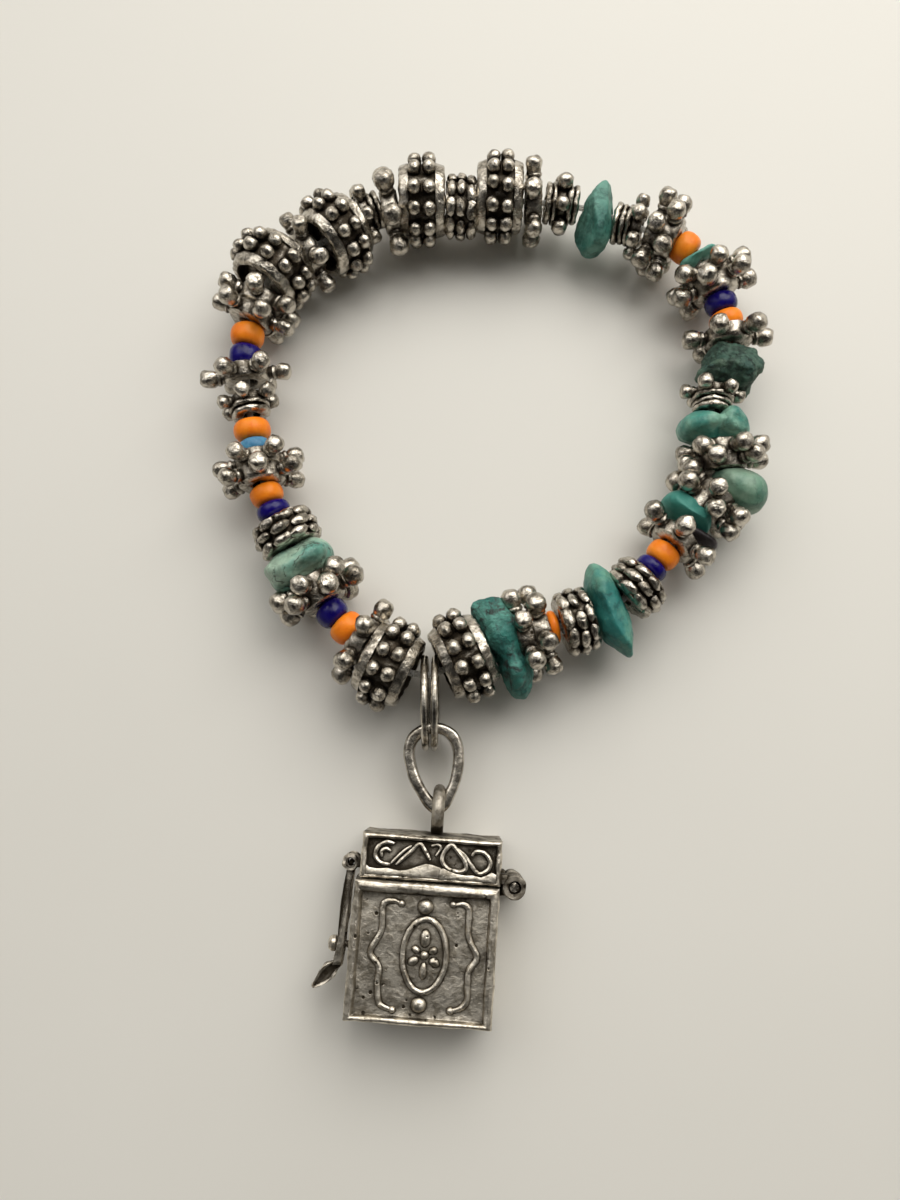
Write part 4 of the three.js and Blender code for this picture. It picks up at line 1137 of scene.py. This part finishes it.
# The case's front has two bracket-shaped wires, and an oval frame round a leaf spray with a ball above and
# below. A leaf's row is (turn, distance out, length, width).
case = {
    "left": -8.5, "bottom": -7.85, "seam": 7.85,
    "rim": [(0.45, 0.2, 0.15, 0.3, 8.9), (0.62, 0.6, 0.35, 0.75, 9.0), (0.82, 1.0, 0.6, 1.2, 8.9),
            (1.15, 1.2, 0.8, 1.4, 8.4)],
    "brackets": [
        [(-2.8, 5.4), (-3.6, 5.6), (-4.6, 5.5), (-4.95, 4.9), (-4.9, 3.5), (-5.0, 1.9), (-6.0, -0.2),
         (-4.9, -1.7), (-4.9, -3.6), (-4.6, -5.5), (-3.9, -6.1), (-3.0, -6.3)],
        [(3.2, 5.7), (4.3, 5.8), (5.05, 5.3), (5.1, 3.8), (5.3, 2.0), (6.3, 0.0), (5.5, -1.5), (5.4, -2.9),
         (5.45, -4.8), (4.7, -5.7), (3.6, -6.0)],
    ],
    "bracketWire": 0.36, "bracketLift": 8.46, "bracketEnd": (0.42, 0.42, 0.36),
    "oval": {"middle": (0.25, -0.15), "half": (2.5, 4.05), "wire": 0.33, "lift": 8.52},
    "balls": [(0.0, 5.2), (0.0, -5.6)], "ballSize": (0.92, 0.92, 0.72),
    "leaves": [(0, 1.0, 1.9, 0.62), (120, 0.8, 1.3, 0.5), (-120, 0.8, 1.3, 0.5), (60, 0.7, 1.0, 0.42),
               (-60, 0.7, 1.0, 0.42), (180, 0.9, 1.8, 0.45)],
    "bud": (0.5, 0.5, 0.42), "reliefFacets": (14, 10),
    "leafTop": 7.8, "studPlace": (-10.05, -0.2),
    "stud": [(-1.6, 0), (-1.6, 0.55), (-1.2, 0.5), (-0.95, 0.38), (0.15, 0.38), (0.2, 0.75), (0.38, 0.93),
             (0.8, 0.95), (1.15, 0.7), (1.35, 0)],
}


def makeCaseRelief(bm):
    for points in case["brackets"]:
        ribbon(bm, points, case["bracketWire"], case["bracketLift"], perSpan=5, sides=10, taper=0.6)
        for end in (points[0], points[-1]):
            ball(bm, (*end, case["bracketLift"]), case["bracketEnd"], (14, 8))
    oval, panel = case["oval"], locket["panel"]
    x, y = oval["middle"]
    frameLine = aroundOval(x, y, *oval["half"], 16)
    ribbon(bm, frameLine, oval["wire"], oval["lift"], perSpan=4, closed=True, sides=10)
    for spot in case["balls"]:
        ball(bm, (*spot, panel), case["ballSize"], (20, 12))
    for turn, reach, length, wide in case["leaves"]:
        lean = Matrix.Rotation(math.radians(turn), 4, "Z")
        middle = Vector((x, y, panel + 0.05)) + lean @ Vector((0, reach + length * 0.45, 0))
        ball(bm, middle, (wide, length * 0.55, 0.38), case["reliefFacets"], lean)
    ball(bm, (x, y, panel + 0.15), case["bud"], case["reliefFacets"])


def makeCase():
    panel, rightSide = locket["panel"], locket["sides"][1]
    bm = boxHalf((case["left"], case["bottom"], 0), (locket["right"], case["seam"], locket["frontEdge"]),
                 case["rim"], 1, locket["wall"])
    roughen(bm, *locket["uneven"], 1)
    makeCaseRelief(bm)
    roughen(bm, *locket["reliefUneven"], 2, above(bm, panel - 0.1))
    low, high = hinge["split"][1] + hinge["gap"], hinge["split"][2] - hinge["gap"]
    x, y = hinge["middle"]
    capped(bm, hinge["knuckle"], low, high, hinge["middle"], hinge["bore"])
    leafPlate(bm, (locket["right"] - 0.3, y - hinge["knuckle"], low + 0.05),
              (x - hinge["bore"] - hinge["leafGap"], case["leafTop"], high - 0.05))
    studPlace = Matrix.Translation((*case["studPlace"], halfDepth)) @ Matrix.Rotation(math.pi, 4, "Z")
    turned(bm, case["stud"], 20, studPlace, closed=False)
    roughen(bm, *locket["fittingUneven"], 5, [vert for vert in bm.verts if vert.co.x > rightSide])
    shade(bm, lambda co: 0.5 if co.x > rightSide else 0.17 * between(panel + 0.3 - co.z, 0, 0.25))
    return bm


# The lid has an apron on each side along the seam, as (outline, height of its top), scrolls above them, as
# (line, radius), and one loop.
lid = {
    "left": -7.9, "seam": 8.08, "top": 13.25, "roof": 1.1,
    "rim": [(0.2, 0.15, 0.15, 0.2, 8.9), (0.4, 0.35, 0.25, 0.4, 9.0), (0.6, 0.55, 0.35, 0.6, 8.9),
            (0.75, 0.75, 0.45, 0.75, 8.4)],
    "aprons": [
        ([(-7.5, 8.4), (-7.5, 9.75), (-6.9, 9.25), (-6.0, 9.2), (-4.8, 9.3), (-3.4, 9.1), (-2.6, 9.2),
          (-1.7, 9.55), (-0.3, 10.05), (0.4, 10.0), (1.5, 9.7), (1.5, 8.4)], 8.86),
        ([(1.25, 8.4), (1.3, 9.6), (1.8, 9.7), (2.4, 9.45), (3.2, 9.2), (4.4, 9.1), (5.2, 9.15), (6.2, 9.0),
          (6.9, 9.3), (7.4, 9.6), (8.0, 9.4), (8.0, 8.4)], 8.94),
    ],
    "apronEdge": (0.13, 2, 60), "apronRoot": 0.2,
    "scrolls": [
        ([(-4.2, 12.1), (-5.0, 12.2), (-5.9, 11.8), (-6.3, 11.0), (-6.1, 10.2), (-5.4, 9.75),
          (-4.5, 9.7)], 0.29),
        ([(-4.5, 11.2), (-5.1, 11.45), (-5.6, 11.1), (-5.5, 10.5)], 0.22),
        ([(-4.4, 9.8), (-3.7, 10.6), (-2.9, 11.4), (-2.1, 12.0)], 0.2),
        ([(-3.8, 9.7), (-3.0, 10.5), (-2.1, 11.4), (-1.2, 12.25), (-0.5, 11.5), (0.1, 10.5)], 0.26),
        ([(0.2, 12.1), (0.9, 12.3), (1.3, 11.9), (0.8, 11.0)], 0.2),
        ([(2.5, 12.4), (3.9, 11.5), (4.9, 10.3), (5.9, 9.35), (6.9, 9.8), (7.2, 10.7), (6.5, 11.7),
          (5.4, 11.8), (5.0, 11.3)], 0.28),
    ],
    "loop": [(2.5, 12.4), (1.7, 11.5), (1.55, 10.5), (2.3, 9.65), (3.6, 9.4), (4.4, 9.8), (4.1, 10.8),
             (3.2, 11.8)],
    "loopWire": 0.3,
    "eye": {"x": 0.65, "y": 16.0, "radius": 2.5, "wire": 0.75}, "eyeFrom": 13.4,
    "leafBottom": 8.3,
}


def makeLidRelief(bm):
    panel = locket["panel"]
    for outline, top in lid["aprons"]:
        merged(bm, worked(plate(outline, panel - lid["apronRoot"], top), eased(*lid["apronEdge"])))
    for points, radius in lid["scrolls"]:
        ribbon(bm, points, radius, panel + 0.1, perSpan=5, taper=0.6)
    ribbon(bm, lid["loop"], lid["loopWire"], panel + 0.12, perSpan=5, closed=True)


def makeLidEars(bm):
    # The hasp hangs between two ears, on a thin pin.
    x, y = hasp["middle"]
    thick = hasp["earThick"]
    reach = hasp["barrelWidth"] / 2 + hasp["earGap"]
    for low in (halfDepth - reach - thick, halfDepth + reach):
        capped(bm, hasp["ear"], low, low + thick, hasp["middle"], hasp["earBore"])
        leafPlate(bm, (x + 0.75, y - 0.5, low + 0.02), (lid["left"] + 0.3, y + 0.5, low + thick - 0.02))
    capped(bm, hasp["pin"], halfDepth - reach - 0.1, halfDepth + reach + 0.1, hasp["middle"], steps=16)


def makeLid():
    panel, (leftSide, rightSide) = locket["panel"], locket["sides"]
    bm = boxHalf((lid["left"], lid["seam"], 0), (locket["right"], lid["top"], locket["frontEdge"]),
                 lid["rim"], -1, lid["roof"])
    roughen(bm, *locket["uneven"], 3)
    makeLidRelief(bm)
    roughen(bm, *locket["reliefUneven"], 4, above(bm, panel - 0.1))
    eye = lid["eye"]
    circle = aroundOval(eye["y"], halfDepth, eye["radius"], eye["radius"], 20)
    wire(bm, [(eye["x"], y, z) for y, z in circle], eye["wire"], perSpan=3, closed=True, sides=14)
    x, y = hinge["middle"]
    for low, high in (hinge["split"][:2], hinge["split"][2:]):
        capped(bm, hinge["knuckle"], low, high, hinge["middle"], hinge["bore"])
        leafPlate(bm, (locket["right"] - 0.3, lid["leafBottom"], low + 0.05),
                  (x - hinge["bore"] - hinge["leafGap"], y + hinge["knuckle"], high - 0.05))
    makeLidEars(bm)
    roughen(bm, *locket["fittingUneven"], 5,
            [vert for vert in bm.verts if vert.co.x > rightSide or vert.co.x < leftSide])

    def patinaAndShade(co):
        if co.x > rightSide:
            return 0.5
        if co.x < leftSide:
            return 0.3
        if co.y > lid["eyeFrom"]:
            return 0.45
        return 0.5 * between(panel + 0.3 - co.z, 0, 0.25)

    shade(bm, patinaAndShade)
    return bm


def makeHingePin():
    # A plain pin.
    bm = bmesh.new()
    bottom, top = hinge["pinEnds"]
    capped(bm, hinge["pin"], hinge["split"][0] + bottom, hinge["split"][3] - top, hinge["middle"])
    roughen(bm, *hinge["pinUneven"], 6)
    shade(bm, lambda co: 0.4)
    return bm


def makeStrap():
    half, width, neck = hasp["bar"] / 2, hasp["width"], hasp["barrelWidth"]
    outline = [(x - half, y) for x, y in hasp["line"]] + [(x + half, y) for x, y in reversed(hasp["line"])]
    strap = plate(outline, halfDepth - width / 2, halfDepth + width / 2)
    for vert in strap.verts:
        if vert.co.y > hasp["neckFrom"]:  # the neck is as narrow as the gap between the ears
            vert.co.z = halfDepth + (vert.co.z - halfDepth) * neck / width
    cutter = bmesh.new()
    (left, bottom), (right, top) = hasp["slot"]
    slot = hasp["slotWidth"] / 2
    slab(cutter, (left, bottom, halfDepth - slot), (right, top, halfDepth + slot))
    rod(cutter, hasp["bore"], 6, 20, Matrix.Translation((*hasp["middle"], halfDepth)))
    return cutWith(strap, cutter, eased(*hasp["edge"]))


def makeTab():
    # The finger tab is a leaf, hollowed inside its rim.
    outline = smoothPath(hasp["leaf"], 3, closed=True)
    tab = plate(outline, halfDepth - hasp["leafHalf"], halfDepth + hasp["leafHalf"])
    top = faceTowards(tab, (0, 0, 1))
    bmesh.ops.inset_region(tab, faces=[top], thickness=hasp["leafRim"], depth=0, use_even_offset=True)
    bmesh.ops.translate(tab, vec=(0, 0, -hasp["leafHollow"]), verts=top.verts[:])
    bmesh.ops.recalc_face_normals(tab, faces=tab.faces)
    return worked(tab, eased(*hasp["leafEdge"]))


def makeHasp():
    # A strap that hangs from the lid's ears, slotted for the stud, with its finger tab.
    bm = makeStrap()
    half = hasp["barrelWidth"] / 2
    capped(bm, hasp["barrel"], halfDepth - half, halfDepth + half, hasp["middle"], hasp["bore"], 28)
    merged(bm, makeTab())
    barrelFrom = hasp["barrelFrom"]
    roughen(bm, *hasp["barrelUneven"], 7, [vert for vert in bm.verts if vert.co.y >= barrelFrom])
    roughen(bm, *hasp["uneven"], 7, [vert for vert in bm.verts if vert.co.y < barrelFrom])
    hollow = halfDepth + hasp["leafHalf"] - 0.24

    def patinaAndShade(co):
        if co.y >= hasp["leafFrom"]:
            return 0.45
        return 0.6 if co.z < hollow else 0.05  # the tab's rim is rubbed bright

    shade(bm, patinaAndShade)
    return bm


def finishCharm(bm, name, material, body, node, sharp=40):
    finishPiece(bm, name, charmFrame, material, body, [node], nodeSlots[node], sharp)


finishCharm(makeCase(), "locket_case_cast", locketSilver, "case", "locket_case", 35)
finishCharm(makeLid(), "locket_lid_cast", locketSilver, "bracelet", "locket_lid", 35)
finishCharm(makeHingePin(), "hinge_pin_wire", wireSilver, "bracelet", "hinge_pin")
finishCharm(makeHasp(), "latch_hasp", locketSilver, "hasp", "latch")
print("locket made")

table = {"half": 2.5, "drop": 0.00002, "tones": ((0.73, 0.71, 0.655, 1), (0.78, 0.76, 0.71, 1)), "clouds": 14,
         "rough": (0.55, 0.65)}


def addTable():
    # A pale surface for the bracelet to lie on. From here on, sizes are in metres.
    bm = bmesh.new()
    bmesh.ops.create_grid(bm, x_segments=1, y_segments=1, size=table["half"],
                          matrix=Matrix.Translation((0, 0, -table["drop"])))
    top = addObject("table", toMesh(bm, "table"))
    material, tree, shader = plainMaterial("paleTable")
    place = addNode(tree, "ShaderNodeTexCoord").outputs["Object"]
    tone = addNoise(tree, place, table["clouds"], 3)
    tree.links.new(addMix(tree, tone, *table["tones"]), shader["Base Color"])
    tree.links.new(addRange(tree, tone, 0.3, 0.7, *table["rough"]), shader["Roughness"])
    top.data.materials.append(material)


light = {
    "key": {"place": (0.11, 0.225, 0.3), "size": (0.37, 0.3), "power": 1.06, "color": (1.0, 0.98, 0.94)},
    "fill": {"place": (-0.34, 0.26, 0.42), "size": (0.6, 0.6), "power": 0.4, "color": (0.97, 0.975, 1.0)},
}


def addLight(name, look):
    lamp = bpy.data.lights.new(name, "AREA")
    lamp.shape = "RECTANGLE"
    lamp.size, lamp.size_y = look["size"]
    lamp.energy = look["power"]
    lamp.color = look["color"]
    holder = addObject(name, lamp)
    holder.location = look["place"]
    holder.rotation_euler = (-Vector(look["place"])).to_track_quat("-Z", "Y").to_euler()


# Each part of the room has its direction, how near to it the part starts and ends, and its brightness there.
room = {
    "window": ((0.25, 0.86, 0.45), 0.1, 0.95, 0.16, 0.95),
    "lamp": ((-0.5, 0.45, 0.74), 0.93, 0.985, 0.0, 1.4),
    "overhead": ((0.0, -0.5, 0.866), 0.76, 0.92, 1.0, 0.08),
    "warm": (0.86, 0.8, 0.7, 1), "pale": (0.95, 0.925, 0.87, 1), "backdrop": (0.82, 0.81, 0.78, 1),
}


def paintRoom():
    # A pale room, brighter towards the window and dim overhead and in front, which the metal mirrors.
    world = bpy.data.worlds.new("room")
    bpy.context.scene.world = world
    world.use_nodes = True
    tree = world.node_tree
    plus, minus, times = arithmetic(tree)
    facing = addNode(tree, "ShaderNodeTexCoord").outputs["Generated"]

    def patch(name):
        direction, start, end, far, near = room[name]
        towards = addNode(tree, "ShaderNodeVectorMath", {0: facing, 1: direction}, operation="DOT_PRODUCT")
        return addRange(tree, towards.outputs["Value"], start, end, far, near)

    strength = times(plus(patch("window"), patch("lamp")), patch("overhead"))
    upwards = addNode(tree, "ShaderNodeSeparateXYZ", {"Vector": facing}).outputs["Z"]
    color = addMix(tree, addRange(tree, upwards, -0.1, 0.6), room["warm"], room["pale"])
    direct = addNode(tree, "ShaderNodeLightPath").outputs["Is Camera Ray"]
    background = tree.nodes["Background"]
    tree.links.new(addMix(tree, direct, color, room["backdrop"]), background.inputs["Color"])
    tree.links.new(plus(times(strength, minus(1.0, direct)), direct), background.inputs["Strength"])


view = {"lens": 29.1, "sensor": 36, "clip": (0.005, 20), "distance": 0.1214, "elevation": 80,
        "aimHeight": 6.0}


def addCamera():
    data = bpy.data.cameras.new("camera")
    data.lens = view["lens"]
    data.sensor_width = view["sensor"]
    data.sensor_fit = "AUTO"
    data.clip_start, data.clip_end = view["clip"]
    camera = addObject("camera", data)
    rise = math.radians(view["elevation"])
    aim = (loopFrame @ Vector((0, 0, view["aimHeight"]))) * mm
    camera.location = aim + Vector((0, -math.cos(rise), math.sin(rise))) * view["distance"]
    camera.rotation_euler = (math.pi / 2 - rise, 0, 0)
    bpy.context.scene.camera = camera


addTable()
for name, look in light.items():
    addLight(name, look)
paintRoom()
addCamera()
bpy.context.scene.view_settings.view_transform = "Standard"
print("setting made")
